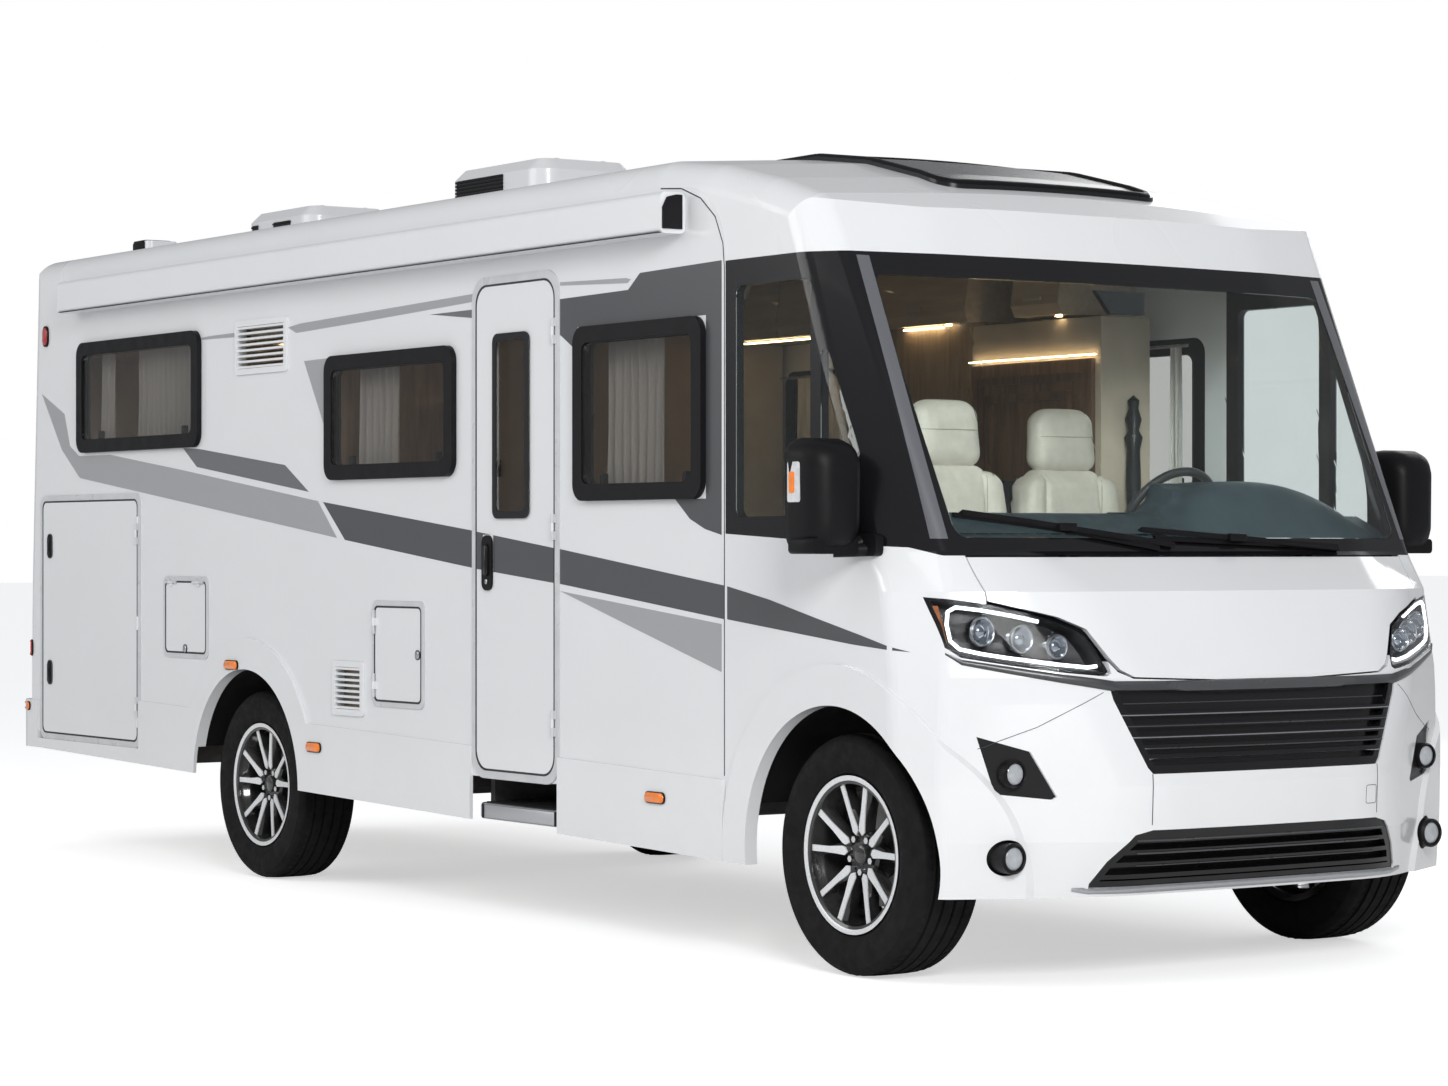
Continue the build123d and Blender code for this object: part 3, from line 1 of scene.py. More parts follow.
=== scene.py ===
import bpy
import bmesh
import json
import math
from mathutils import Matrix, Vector
from mathutils.bvhtree import BVHTree
from mathutils.geometry import tessellate_polygon

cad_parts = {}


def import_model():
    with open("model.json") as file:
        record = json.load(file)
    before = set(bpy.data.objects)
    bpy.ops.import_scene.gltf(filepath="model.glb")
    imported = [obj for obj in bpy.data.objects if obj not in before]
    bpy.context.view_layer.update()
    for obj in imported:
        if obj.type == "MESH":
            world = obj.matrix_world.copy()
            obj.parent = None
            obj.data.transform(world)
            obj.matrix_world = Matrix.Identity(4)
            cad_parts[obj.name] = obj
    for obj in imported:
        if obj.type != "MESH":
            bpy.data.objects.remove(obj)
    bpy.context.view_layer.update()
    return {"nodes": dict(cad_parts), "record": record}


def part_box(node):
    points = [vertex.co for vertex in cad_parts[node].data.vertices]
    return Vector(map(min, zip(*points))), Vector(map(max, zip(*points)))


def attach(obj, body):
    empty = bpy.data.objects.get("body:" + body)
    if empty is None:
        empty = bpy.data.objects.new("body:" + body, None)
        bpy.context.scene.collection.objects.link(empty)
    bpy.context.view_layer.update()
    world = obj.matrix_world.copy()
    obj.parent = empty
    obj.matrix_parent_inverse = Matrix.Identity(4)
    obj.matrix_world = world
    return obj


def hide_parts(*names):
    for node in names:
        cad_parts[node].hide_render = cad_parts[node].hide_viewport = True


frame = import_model()
nodes = frame["nodes"]

# ------------------------------------------------------------------ places, in metres
FRONT_AXLE = 2.770
REAR_AXLE = -1.280
WALL_Y = 1.110
AXLE_Z = 0.3815
WHEEL_Y = 0.9325
SIDES = ((-1, "right"), (1, "left"))


def ax(x):
    """A place given ahead of the front axle."""
    return FRONT_AXLE + x


# ------------------------------------------------------------------ materials
MATERIALS = {}


class Nodes:
    """A small builder for one material's node tree, which joins the table of materials."""

    def __init__(self, name):
        self.mat = MATERIALS[name] = bpy.data.materials.new(name)
        self.mat.use_nodes = True
        self.tree = self.mat.node_tree
        self.tree.nodes.clear()
        self.out = self.add("ShaderNodeOutputMaterial")
        self.bsdf = self.add("ShaderNodeBsdfPrincipled")
        self.link(self.bsdf.outputs[0], self.out.inputs[0])
        self.place = self.add("ShaderNodeTexCoord").outputs["Object"]

    def add(self, kind, **settings):
        node = self.tree.nodes.new(kind)
        for key, value in settings.items():
            setattr(node, key, value)
        return node

    def link(self, a, b):
        self.tree.links.new(a, b)

    def set(self, node, name, value):
        if isinstance(value, bpy.types.NodeSocket):
            self.link(value, node.inputs[name])
        else:
            node.inputs[name].default_value = value

    def math(self, operation, a, b=0.0, c=0.0):
        node = self.add("ShaderNodeMath", operation=operation)
        for i, value in enumerate((a, b, c)):
            self.set(node, i, value)
        return node.outputs[0]

    def scaled(self, vector):
        node = self.add("ShaderNodeMapping")
        self.link(self.place, node.inputs["Vector"])
        node.inputs["Scale"].default_value = vector
        return node.outputs[0]

    def noise(self, scale, detail=3.0, rough=0.55, stretch=None):
        node = self.add("ShaderNodeTexNoise")
        self.set(node, "Vector", self.scaled(stretch) if stretch else self.place)
        node.inputs["Scale"].default_value = scale
        node.inputs["Detail"].default_value = detail
        node.inputs["Roughness"].default_value = rough
        return node.outputs["Fac"]

    def cells(self, scale, feature="F1"):
        node = self.add("ShaderNodeTexVoronoi", feature=feature)
        self.set(node, "Vector", self.place)
        node.inputs["Scale"].default_value = scale
        return node.outputs["Distance"]

    def ramp(self, value, low, high, to_low=0.0, to_high=1.0):
        node = self.add("ShaderNodeMapRange")
        self.link(value, node.inputs["Value"])
        ends = (("From Min", low), ("From Max", high), ("To Min", to_low), ("To Max", to_high))
        for name, number in ends:
            node.inputs[name].default_value = number
        return node.outputs[0]

    def mix(self, fac, a, b):
        node = self.add("ShaderNodeMix", data_type="RGBA")
        for index, value in ((0, fac), (6, a), (7, b)):
            if isinstance(value, bpy.types.NodeSocket):
                self.link(value, node.inputs[index])
            elif index == 0:
                node.inputs[0].default_value = value
            else:
                node.inputs[index].default_value = (*value, 1.0) if len(value) == 3 else value
        return node.outputs[2]

    def axis(self, name):
        node = self.add("ShaderNodeSeparateXYZ")
        self.link(self.place, node.inputs[0])
        return node.outputs[name]

    def normal(self, name):
        geo = self.add("ShaderNodeNewGeometry")
        turn = self.add("ShaderNodeVectorTransform", vector_type="NORMAL", convert_from="WORLD",
                        convert_to="OBJECT")
        self.link(geo.outputs["Normal"], turn.inputs[0])
        node = self.add("ShaderNodeSeparateXYZ")
        self.link(turn.outputs[0], node.inputs[0])
        return node.outputs[name]

    def bump(self, height, distance, strength=1.0, after=None):
        node = self.add("ShaderNodeBump")
        node.inputs["Distance"].default_value = distance
        node.inputs["Strength"].default_value = strength
        self.link(height, node.inputs["Height"])
        if after is not None:
            self.link(after, node.inputs["Normal"])
        return node.outputs[0]

    def finish(self, colour=None, rough=None, normal=None, **plain):
        if colour is not None:
            plain_colour = not isinstance(colour, bpy.types.NodeSocket)
            self.set(self.bsdf, "Base Color", (*colour, 1.0) if plain_colour else colour)
        if rough is not None:
            self.set(self.bsdf, "Roughness", rough)
        if normal is not None:
            self.link(normal, self.bsdf.inputs["Normal"])
        for key, value in plain.items():
            self.bsdf.inputs[key.replace("_", " ")].default_value = value


def tone(colour, factor):
    return tuple(min(1.0, c * factor) for c in colour)


def varied(n, colour, scale, spread, stretch=None):
    """The colour, a little lighter and darker from place to place."""
    share = n.ramp(n.noise(scale, stretch=stretch), 0.3, 0.7)
    return n.mix(share, tone(colour, 1 - spread), tone(colour, 1 + spread))


def road_film(n, colour, top=0.9, amount=0.35, film=(0.46, 0.44, 0.41)):
    """A thin film of road dust that grows towards the ground."""
    low = n.ramp(n.axis("Z"), top, 0.25)
    patch = n.ramp(n.noise(3.0, 6.0, 0.65), 0.35, 0.75)
    return n.mix(n.math("MULTIPLY", n.math("MULTIPLY", low, patch), amount), colour, film)


def paint(name, colour, rough=0.16, coat=0.6, dust=0.1, spec=0.5):
    n = Nodes(name)
    base = varied(n, colour, 1.3, 0.012)
    base = road_film(n, base, amount=dust)
    peel = n.bump(n.noise(160.0, 2.0), 0.00012)
    shine = n.ramp(n.noise(0.9, 1.0), 0.2, 0.8, rough * 0.92, rough * 1.12)
    n.finish(base, shine, peel, Coat_Weight=coat, Coat_Roughness=0.05, Specular_IOR_Level=spec)


def moulding(name, colour, rough=0.45, grain=900.0, depth=0.00012, dust=0.15, coat=0.0, spec=0.5):
    """Moulded plastic with a fine leather-like grain."""
    n = Nodes(name)
    base = road_film(n, varied(n, colour, 9.0, 0.06), amount=dust)
    pits = n.bump(n.cells(grain), depth)
    shine = n.ramp(n.noise(14.0, 4.0), 0.3, 0.7, rough * 0.85, min(1.0, rough * 1.2))
    n.finish(base, shine, pits, Coat_Weight=coat, Specular_IOR_Level=spec)


def metal(name, colour, rough, brushed=(1, 1, 60), share=1.0):
    n = Nodes(name)
    lines = n.noise(60.0, 4.0, stretch=brushed)
    base = n.mix(n.ramp(lines, 0.3, 0.7), tone(colour, 0.9), tone(colour, 1.06))
    shine = n.ramp(lines, 0.3, 0.7, rough * 0.75, rough * 1.35)
    n.finish(base, shine, n.bump(lines, 0.00006), Metallic=share)


def blend_by_ray(n, kind, usual, special):
    """One shader for rays of a kind and another for the rest."""
    path = n.add("ShaderNodeLightPath")
    blend = n.add("ShaderNodeMixShader")
    n.link(path.outputs[kind], blend.inputs[0])
    n.link(usual.outputs[0], blend.inputs[1])
    n.link(special.outputs[0], blend.inputs[2])
    n.link(blend.outputs[0], n.out.inputs[0])


def glass(name, tint, shadow_tint, ior=1.3, smears=0.03):
    """Tinted glazing that also lets the lamps through."""
    n = Nodes(name)
    smear = n.ramp(n.noise(7.0, 5.0, 0.6), 0.45, 0.8, 0.0, smears)
    colour = n.mix(n.ramp(n.noise(1.1, 2.0), 0.3, 0.7), tone(tint, 0.96), tone(tint, 1.03))
    n.finish(colour, smear, Transmission_Weight=1.0, IOR=ior)
    through = n.add("ShaderNodeBsdfTransparent")
    through.inputs[0].default_value = (*shadow_tint, 1.0)
    blend_by_ray(n, "Is Shadow Ray", n.bsdf, through)


def lens(name, colour, glow=0.0, ribs=260.0):
    """A coloured lamp lens with fine moulded prisms."""
    n = Nodes(name)
    flutes = n.bump(n.cells(ribs), 0.0006)
    base = varied(n, colour, 40.0, 0.12)
    n.finish(base, 0.12, flutes, Coat_Weight=0.8, Emission_Color=(*colour, 1.0), Emission_Strength=glow)


def leather(name, colour):
    n = Nodes(name)
    creases = n.cells(420.0, "DISTANCE_TO_EDGE")
    folds = n.noise(18.0, 5.0)
    base = n.mix(n.ramp(folds, 0.3, 0.7), tone(colour, 0.9), tone(colour, 1.07))
    normal = n.bump(creases, 0.0004, after=n.bump(folds, 0.003))
    n.finish(base, n.ramp(folds, 0.3, 0.7, 0.357, 0.504), normal, Sheen_Weight=0.15)


def cloth(name, colour, threads, sheen):
    n = Nodes(name)
    waves = []
    for direction, distortion in (("X", 1.5), ("Z", 0.0)):
        wave = n.add("ShaderNodeTexWave", wave_type="BANDS", bands_direction=direction)
        n.link(n.place, wave.inputs["Vector"])
        wave.inputs["Scale"].default_value = threads
        wave.inputs["Distortion"].default_value = distortion
        waves.append(wave.outputs["Fac"])
    knit = n.math("MULTIPLY", *waves)
    base = n.mix(n.ramp(knit, 0.0, 1.0), tone(colour, 0.82), tone(colour, 1.08))
    n.finish(base, 0.85, n.bump(knit, 0.0004), Sheen_Weight=sheen)


def wood(name, colour, dark, stretch=(6, 6, 0.6)):
    n = Nodes(name)
    rings = n.noise(7.0, 8.0, 0.62, stretch=stretch)
    grain = n.noise(90.0, 3.0, 0.5, stretch=stretch)
    blend = n.math("ADD", n.ramp(rings, 0.35, 0.65, 0.0, 0.75), n.ramp(grain, 0.3, 0.7, 0.0, 0.25))
    n.finish(n.mix(blend, dark, colour), 0.35, n.bump(grain, 0.0002), Coat_Weight=0.25)


def rubber(name, colour):
    n = Nodes(name)
    base = road_film(n, varied(n, colour, 30.0, 0.2), top=0.8, amount=0.025, film=(0.2, 0.19, 0.18))
    normal = n.bump(n.noise(500.0, 3.0), 0.0002)
    n.finish(base, n.ramp(n.noise(25.0, 4.0), 0.3, 0.7, 0.6, 0.85), normal, Specular_IOR_Level=0.14)


def glow(name, colour, strength):
    n = Nodes(name)
    cover = n.bump(n.noise(300.0, 1.0), 0.0002)
    n.finish(colour, 0.3, cover, Emission_Color=(*colour, 1.0), Emission_Strength=strength)


def rim_material(name):
    """Machined spoke faces and lip on a gloss black wheel."""
    n = Nodes(name)
    facing = n.math("ABSOLUTE", n.normal("Y"))
    out = n.math("ABSOLUTE", n.axis("Y"))
    proud = n.math("GREATER_THAN", out, 1.0265)
    face = n.math("MULTIPLY", n.ramp(facing, 0.80, 0.9), proud)
    turn = n.noise(240.0, 2.0, stretch=(1, 0.2, 1))
    silver = n.mix(n.ramp(turn, 0.3, 0.7), (0.74, 0.75, 0.76), (0.84, 0.85, 0.86))
    black = varied(n, (0.012, 0.012, 0.013), 20.0, 0.3)
    n.set(n.bsdf, "Metallic", n.math("MULTIPLY", face, 0.35))
    n.finish(n.mix(face, black, silver), n.ramp(face, 0.0, 1.0, 0.2, 0.26), n.bump(turn, 0.00004),
             Coat_Weight=0.5)


WHITE = (0.80, 0.81, 0.82)
ALONG_X = (0.6, 6, 6)
DARK, MID, LIGHT = "stripe_dark", "stripe_mid", "stripe_light"

paint("white_paint", WHITE)
paint("roof_white", (0.79, 0.80, 0.81), rough=0.28, coat=0.3, dust=0.05)
paint("cab_white", WHITE, rough=0.14, coat=0.7)
paint("black_gloss", (0.007, 0.007, 0.008), rough=0.2, coat=0.15, dust=0.02, spec=0.35)
paint("awning_grey", (0.78, 0.79, 0.8), rough=0.3, coat=0.2, dust=0.02)
paint("rim_black", (0.012, 0.012, 0.013), rough=0.14, coat=0.7)
paint("screen_black", (0.006, 0.007, 0.008), rough=0.08, coat=0.5, dust=0.0)
paint("skylight_glass", (0.010, 0.011, 0.012), rough=0.22, coat=0.1, dust=0.0, spec=0.35)
# A grey that stands in for the broad glossy reflection on the black screen pillars: painted reflection.
paint("pillar_satin", (0.125, 0.13, 0.142), rough=0.34, coat=0.3, dust=0.0, spec=0.4)
for name, colour in ((DARK, (0.070, 0.072, 0.077)), (MID, (0.145, 0.148, 0.155)), (LIGHT, (0.36, 0.365, 0.375))):
    paint(name, colour, rough=0.3, coat=0.25, dust=0.04)
moulding("black_plastic", (0.008, 0.008, 0.009), rough=0.4, spec=0.14, dust=0.02)
moulding("grey_plastic", (0.60, 0.61, 0.62), rough=0.3)
moulding("lamp_black", (0.012, 0.012, 0.013), rough=0.32, dust=0.0, coat=0.03, spec=0.18)
moulding("frame_steel", (0.03, 0.03, 0.032), rough=0.5, grain=300.0, dust=0.4)
moulding("engine_grey", (0.13, 0.13, 0.135), rough=0.6, grain=250.0, depth=0.0005)
moulding("tank_grey", (0.07, 0.07, 0.075), rough=0.5)
moulding("dash_grey", (0.040, 0.060, 0.073), rough=0.5, grain=700.0, dust=0.0)
moulding("dash_dark", (0.022, 0.024, 0.026), rough=0.4, dust=0.0, spec=0.3)
moulding("wall_beige", (0.56, 0.48, 0.38), rough=0.6, grain=500.0, dust=0.0)
moulding("bar", (0.045, 0.048, 0.052), rough=0.3, grain=1200.0, dust=0.02, coat=0.35)
moulding("seam", (0.035, 0.036, 0.038), rough=0.7, dust=0.0)
glass("tinted_glass", (0.52, 0.51, 0.50), (0.5, 0.5, 0.5))
glass("clear_glass", (0.86, 0.9, 0.89), (0.75, 0.8, 0.78))
glass("cab_pane", (0.70, 0.75, 0.75), (0.7, 0.74, 0.74))
glass("lamp_glass", (0.93, 0.95, 0.96), (0.9, 0.9, 0.92), ior=1.14, smears=0.008)
lens("red_lens", (0.42, 0.012, 0.012), 0.05)
lens("amber_lens", (0.90, 0.21, 0.004), 0.10)
lens("amber_dark", (0.30, 0.10, 0.03))
lens("bulb_glass", (0.40, 0.42, 0.44), 0.04, ribs=90.0)
lens("clear_lens", (0.62, 0.63, 0.64), 0.05)
glow("daylight", (0.92, 0.96, 1.0), 2.2)
glow("warm_light", (1.0, 0.74, 0.42), 9.0)
metal("aluminium_step", (0.62, 0.63, 0.65), 0.38, brushed=(60, 1, 1))
metal("rim_silver", (0.82, 0.83, 0.84), 0.24, brushed=(20, 0.2, 20), share=0.3)
metal("chrome", (0.8, 0.81, 0.82), 0.08)
metal("disc_steel", (0.33, 0.32, 0.31), 0.4)
metal("satin_silver", (0.55, 0.56, 0.58), 0.3, brushed=(3, 0.3, 30))
metal("projector", (0.42, 0.45, 0.5), 0.12)
metal("mirror_glass", (0.7, 0.72, 0.74), 0.03)
wood("floor_grey", (0.36, 0.28, 0.2), (0.2, 0.15, 0.11), stretch=ALONG_X)
wood("furniture_wood", (0.42, 0.32, 0.22), (0.26, 0.19, 0.13))
wood("locker_wood", (0.54, 0.45, 0.34), (0.44, 0.36, 0.27), stretch=ALONG_X)
wood("door_wood", (0.20, 0.12, 0.07), (0.10, 0.06, 0.035))
leather("wheel_leather", (0.03, 0.03, 0.032))
leather("seat_cream", (0.67, 0.62, 0.54))
leather("seat_thread", (0.42, 0.38, 0.31))
cloth("ceiling_beige", (0.62, 0.54, 0.43), 300.0, 0.1)
cloth("curtain", (0.80, 0.77, 0.72), 900.0, 0.3)
rubber("tyre", (0.008, 0.008, 0.0085))
rim_material("alloy_rim")

OWN_MATERIAL = {"cab_side_panes": "cab_pane", "roof_light": "skylight_glass"}
slot_of = {row["node"]: row["material_slot"] for row in frame["record"]["subparts"]}
for name, node in nodes.items():
    for place in node.material_slots:
        place.material = MATERIALS[OWN_MATERIAL.get(name, slot_of[name])]

# ------------------------------------------------------------------ floor, light, camera
WORLD_LIGHT, WORLD_GLOSS = 0.40, 0.34
FLOOR_GLOW, FLOOR_HALF, FLOOR_DROP = 0.55, 120.0, 0.001
PHOTO_WIDTH, PHOTO_MIDDLE, HORIZON = 1448, 543.0, 548.66
FOCAL = 3557.85
SENSOR = 36.0
CAMERA_PLACE, CAMERA_HEADING = (11.75855, -7.64922, 1.34135), 145.731114


def link(obj):
    bpy.context.scene.collection.objects.link(obj)
    return obj


def stage_floor():
    n = Nodes("floor")
    fleck = n.mix(n.ramp(n.noise(60.0, 3.0), 0.3, 0.7), (0.88, 0.88, 0.88), (0.92, 0.92, 0.92))
    n.finish(fleck, 0.9, n.bump(n.noise(200.0), 0.0004))
    pale = n.add("ShaderNodeEmission")
    pale.inputs[1].default_value = FLOOR_GLOW
    lit = n.add("ShaderNodeAddShader")
    n.link(n.bsdf.outputs[0], lit.inputs[0])
    n.link(pale.outputs[0], lit.inputs[1])
    blend_by_ray(n, "Is Camera Ray", n.bsdf, lit)
    mesh = bpy.data.meshes.new("floor")
    corners = [(x * FLOOR_HALF, y * FLOOR_HALF, -FLOOR_DROP) for x, y in ((-1, -1), (1, -1), (1, 1), (-1, 1))]
    mesh.from_pydata(corners, [], [(0, 1, 2, 3)])
    mesh.materials.append(n.mat)
    floor = link(bpy.data.objects.new("floor", mesh))


def area_light(name, place, target, size, power):
    data = bpy.data.lights.new(name, "AREA")
    data.shape = "RECTANGLE"
    data.size, data.size_y = size
    data.energy = power
    obj = link(bpy.data.objects.new(name, data))
    obj.location = place
    obj.rotation_mode = "QUATERNION"
    obj.rotation_quaternion = (Vector(target) - Vector(place)).to_track_quat("-Z", "Y")


def world():
    """A soft pale studio: white to the camera and through glass, and dimmer as light and in gloss."""
    scene_world = bpy.data.worlds.new("studio")
    bpy.context.scene.world = scene_world
    scene_world.use_nodes = True
    tree = scene_world.node_tree
    tree.nodes.clear()
    out = tree.nodes.new("ShaderNodeOutputWorld")
    path = tree.nodes.new("ShaderNodeLightPath")

    def math_node(operation, first, second):
        node = tree.nodes.new("ShaderNodeMath")
        node.operation = operation
        for socket, value in zip(node.inputs, (first, second)):
            if isinstance(value, float):
                socket.default_value = value
            else:
                tree.links.new(value, socket)
        return node.outputs[0]

    bounced = math_node("ADD", path.outputs["Diffuse Depth"], path.outputs["Glossy Depth"])
    straight = math_node("LESS_THAN", bounced, 0.5)
    through = math_node("MULTIPLY", path.outputs["Is Transmission Ray"], straight)
    seen = math_node("MAXIMUM", path.outputs["Is Camera Ray"], through)
    light = tree.nodes.new("ShaderNodeBackground")
    light.inputs[0].default_value = (0.95, 0.97, 1.0, 1.0)
    dim = tree.nodes.new("ShaderNodeMapRange")
    dim.inputs["To Min"].default_value = WORLD_LIGHT
    dim.inputs["To Max"].default_value = WORLD_GLOSS
    tree.links.new(path.outputs["Is Glossy Ray"], dim.inputs["Value"])
    tree.links.new(dim.outputs[0], light.inputs[1])
    white = tree.nodes.new("ShaderNodeBackground")
    white.inputs[0].default_value = (1, 1, 1, 1)
    white.inputs[1].default_value = 1.0
    mix = tree.nodes.new("ShaderNodeMixShader")
    tree.links.new(seen, mix.inputs[0])
    tree.links.new(light.outputs[0], mix.inputs[1])
    tree.links.new(white.outputs[0], mix.inputs[2])
    tree.links.new(mix.outputs[0], out.inputs[0])


def camera():
    data = bpy.data.cameras.new("camera")
    data.sensor_width = SENSOR
    data.lens = FOCAL / PHOTO_WIDTH * SENSOR
    data.clip_end = 500.0
    obj = link(bpy.data.objects.new("camera", data))
    obj.location = CAMERA_PLACE
    heading, pitch = math.radians(CAMERA_HEADING), math.atan((HORIZON - PHOTO_MIDDLE) / FOCAL)
    flat = math.cos(pitch)
    ahead = Vector((math.cos(heading) * flat, math.sin(heading) * flat, math.sin(pitch)))
    obj.rotation_mode = "QUATERNION"
    obj.rotation_quaternion = ahead.to_track_quat("-Z", "Y")
    bpy.context.scene.camera = obj


stage_floor()
world()
camera()
area_light("key", (13.0, -6.0, 5.8), (1.5, 0, 1.3), (4, 3), 930)
area_light("fill", (-4.0, -10.0, 4.6), (-1.0, 0, 1.2), (8, 4), 255)
area_light("high", (1.5, -8.5, 7.8), (0.5, 0, 1.6), (6, 3), 75)
area_light("back", (-3.0, 9.0, 6.0), (0, 0, 1.0), (7, 4), 190)
bpy.context.scene.view_settings.view_transform = "Standard"


# ------------------------------------------------------------------ mesh helpers
def piece(name, bm, mats, body="body", smooth=None, replaces=None):
    """A finished object from a bmesh, riding on a body; smooth is the sharp-edge angle in degrees."""
    bmesh.ops.remove_doubles(bm, verts=bm.verts, dist=1e-6)
    bmesh.ops.recalc_face_normals(bm, faces=bm.faces)
    if smooth is not None:
        limit = math.radians(smooth)
        for face in bm.faces:
            face.smooth = True
        for edge in bm.edges:
            edge.smooth = len(edge.link_faces) == 2 and edge.calc_face_angle(0.0) < limit
    mesh = bpy.data.meshes.new(name)
    bm.to_mesh(mesh)
    bm.free()
    for mat in [mats] if isinstance(mats, str) else mats:
        mesh.materials.append(MATERIALS[mat])
    obj = link(bpy.data.objects.new(name, mesh))
    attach(obj, body)
    if replaces:
        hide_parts(replaces)
    return obj


def add_box(bm, x0, x1, y0, y1, z0, z1, bevel=0.0, index=0, segments=2):
    made = bmesh.ops.create_cube(bm, size=1.0)["verts"]
    centre = Vector(((x0 + x1) / 2, (y0 + y1) / 2, (z0 + z1) / 2))
    scale = Vector((abs(x1 - x0), abs(y1 - y0), abs(z1 - z0)))
    for vert in made:
        vert.co = vert.co * scale + centre
    for face in {face for vert in made for face in vert.link_faces}:
        face.material_index = index
    if bevel:
        edges = list({edge for vert in made for edge in vert.link_edges})
        bmesh.ops.bevel(bm, geom=edges, offset=bevel, segments=segments, profile=0.5, affect="EDGES",
                        clamp_overlap=True)


def loft(bm, loops, index=0, closed=False, cap=True):
    """A skin through loops of places, capped at both ends unless it closes on itself."""
    rings = [[bm.verts.new(p) for p in loop] for loop in loops]
    for a, b in zip(rings, rings[1:] + (rings[:1] if closed else [])):
        for i in range(len(a)):
            j = (i + 1) % len(a)
            bm.faces.new((a[i], a[j], b[j], b[i])).material_index = index
    if cap and not closed:
        for ring in (rings[0], rings[-1][::-1]):
            bm.faces.new(ring).material_index = index
    return rings


def add_prism(bm, points, at, index=0):
    """A closed prism from a flat outline; at(point, end) gives the place of a point at end 0 or 1."""
    near, far = ([bm.verts.new(at(p, end)) for p in points] for end in (0, 1))
    made = [bm.faces.new(near), bm.faces.new(far[::-1])]
    for i in range(len(points)):
        j = (i + 1) % len(points)
        made.append(bm.faces.new((near[i], far[i], far[j], near[j])))
    for face in made:
        face.material_index = index


def add_ring(bm, outer, inner, at, index=0):
    """A closed frame between two outlines with the same number of points."""
    corners = ((outer, 0), (outer, 1), (inner, 1), (inner, 0))
    loft(bm, [[at(p, end) for p in points] for points, end in corners], index, closed=True)


def add_lathe(bm, profile, centre, axis="Y", segments=64, index=0):
    """Turn a closed profile of (radius, along) about an axis through a centre."""
    loops = []
    for step in range(segments):
        turn = 2 * math.pi * step / segments
        c, s = math.cos(turn), math.sin(turn)
        loop = []
        for radius, along in profile:
            places = {"X": (along, radius * c, radius * s), "Y": (radius * c, along, radius * s),
                      "Z": (radius * c, radius * s, along)}
            loop.append(Vector(centre) + Vector(places[axis]))
        loops.append(loop)
    loft(bm, loops, index, closed=True)


def rounded_points(x0, x1, z0, z1, radius, steps=6):
    corners = ((x1 - radius, z1 - radius), (x0 + radius, z1 - radius), (x0 + radius, z0 + radius),
               (x1 - radius, z0 + radius))
    points = []
    for quarter, (cx, cz) in enumerate(corners):
        for step in range(steps + 1):
            turn = math.radians(90 * quarter + 90 * step / steps)
            points.append((cx + radius * math.cos(turn), cz + radius * math.sin(turn)))
    return points


def tube(bm, points, radius, segments=10, index=0, closed=False):
    """A round bar along a chain of points."""
    points = [Vector(p) for p in points]
    loops = []
    side = None
    for before, point, after in neighbours(points, closed):
        ahead = (after - before).normalized()
        if side is None:
            side = ahead.orthogonal().normalized()
        side = (side - ahead * side.dot(ahead)).normalized()
        up = ahead.cross(side)
        turns = (2 * math.pi * k / segments for k in range(segments))
        loops.append([point + (side * math.cos(a) + up * math.sin(a)) * radius for a in turns])
    loft(bm, loops, index, closed)


def neighbours(path, closed=False):
    """Each point of a path with the one before and the one after."""
    count = len(path)
    for i, here in enumerate(path):
        before = path[i - 1] if closed or i else here
        after = path[(i + 1) % count] if closed or i < count - 1 else here
        yield before, here, after


def ribbon(name, path, section, at, mat, closed=False, smooth=None):
    """A raised bead along a path; section is (distance across, height), and at(a, b, height) a place."""
    bm = bmesh.new()
    loops = []
    for before, here, after in neighbours(path, closed):
        along = Vector((after[0] - before[0], after[1] - before[1])).normalized()
        loops.append([at(here[0] - along.y * across, here[1] + along.x * across, up) for across, up in section])
    loft(bm, loops, closed=closed)
    return piece(name, bm, mat, smooth=smooth)


def dense(points, step, closed=True):
    """The chain with extra points, none further apart than step."""
    made = []
    ends = points[1:] + (points[:1] if closed else [])
    for p, q in zip(points, ends):
        count = max(1, math.ceil(math.dist(p, q) / step))
        made += [tuple(a + (b - a) * k / count for a, b in zip(p, q)) for k in range(count)]
    return made if closed else made + [points[-1]]


def mesh_of(objects):
    """The vertices and faces of several objects as one."""
    verts, faces = [], []
    for obj in objects:
        start = len(verts)
        verts += [v.co.copy() for v in obj.data.vertices]
        faces += [tuple(start + i for i in p.vertices) for p in obj.data.polygons]
    return verts, faces


def surface_of(*names):
    """A ray target made of CAD nodes' surfaces."""
    return BVHTree.FromPolygons(*mesh_of([nodes[name] for name in names]))


# Rays start this far out: from a side, from above, from ahead and from behind.
FROM_SIDE, FROM_TOP, FROM_FRONT, FROM_REAR = 1.6, 3.4, 3.9, -4.2
NOSE_X = 3.4


def side_y(tree, x, z, side, default, start=FROM_SIDE):
    """How far out from the middle a side surface lies."""
    hit = tree.ray_cast(Vector((x, side * start, z)), Vector((0, -side, 0)))[0]
    return default if hit is None else abs(hit.y)


def top_z(tree, x, y, default, start=FROM_TOP):
    hit = tree.ray_cast(Vector((x, y, start)), Vector((0, 0, -1)))[0]
    return default if hit is None else hit.z


class Front:
    """The front surfaces, met from ahead."""

    def __init__(self, *names):
        self.tree = surface_of(*names)
        self.last = NOSE_X

    def x(self, y, z):
        hit = self.tree.ray_cast(Vector((FROM_FRONT, y, z)), Vector((-1, 0, 0)))[0]
        if hit is not None:
            self.last = hit.x
            return hit.x
        return self.tree.find_nearest(Vector((self.last, y, z)))[0].x


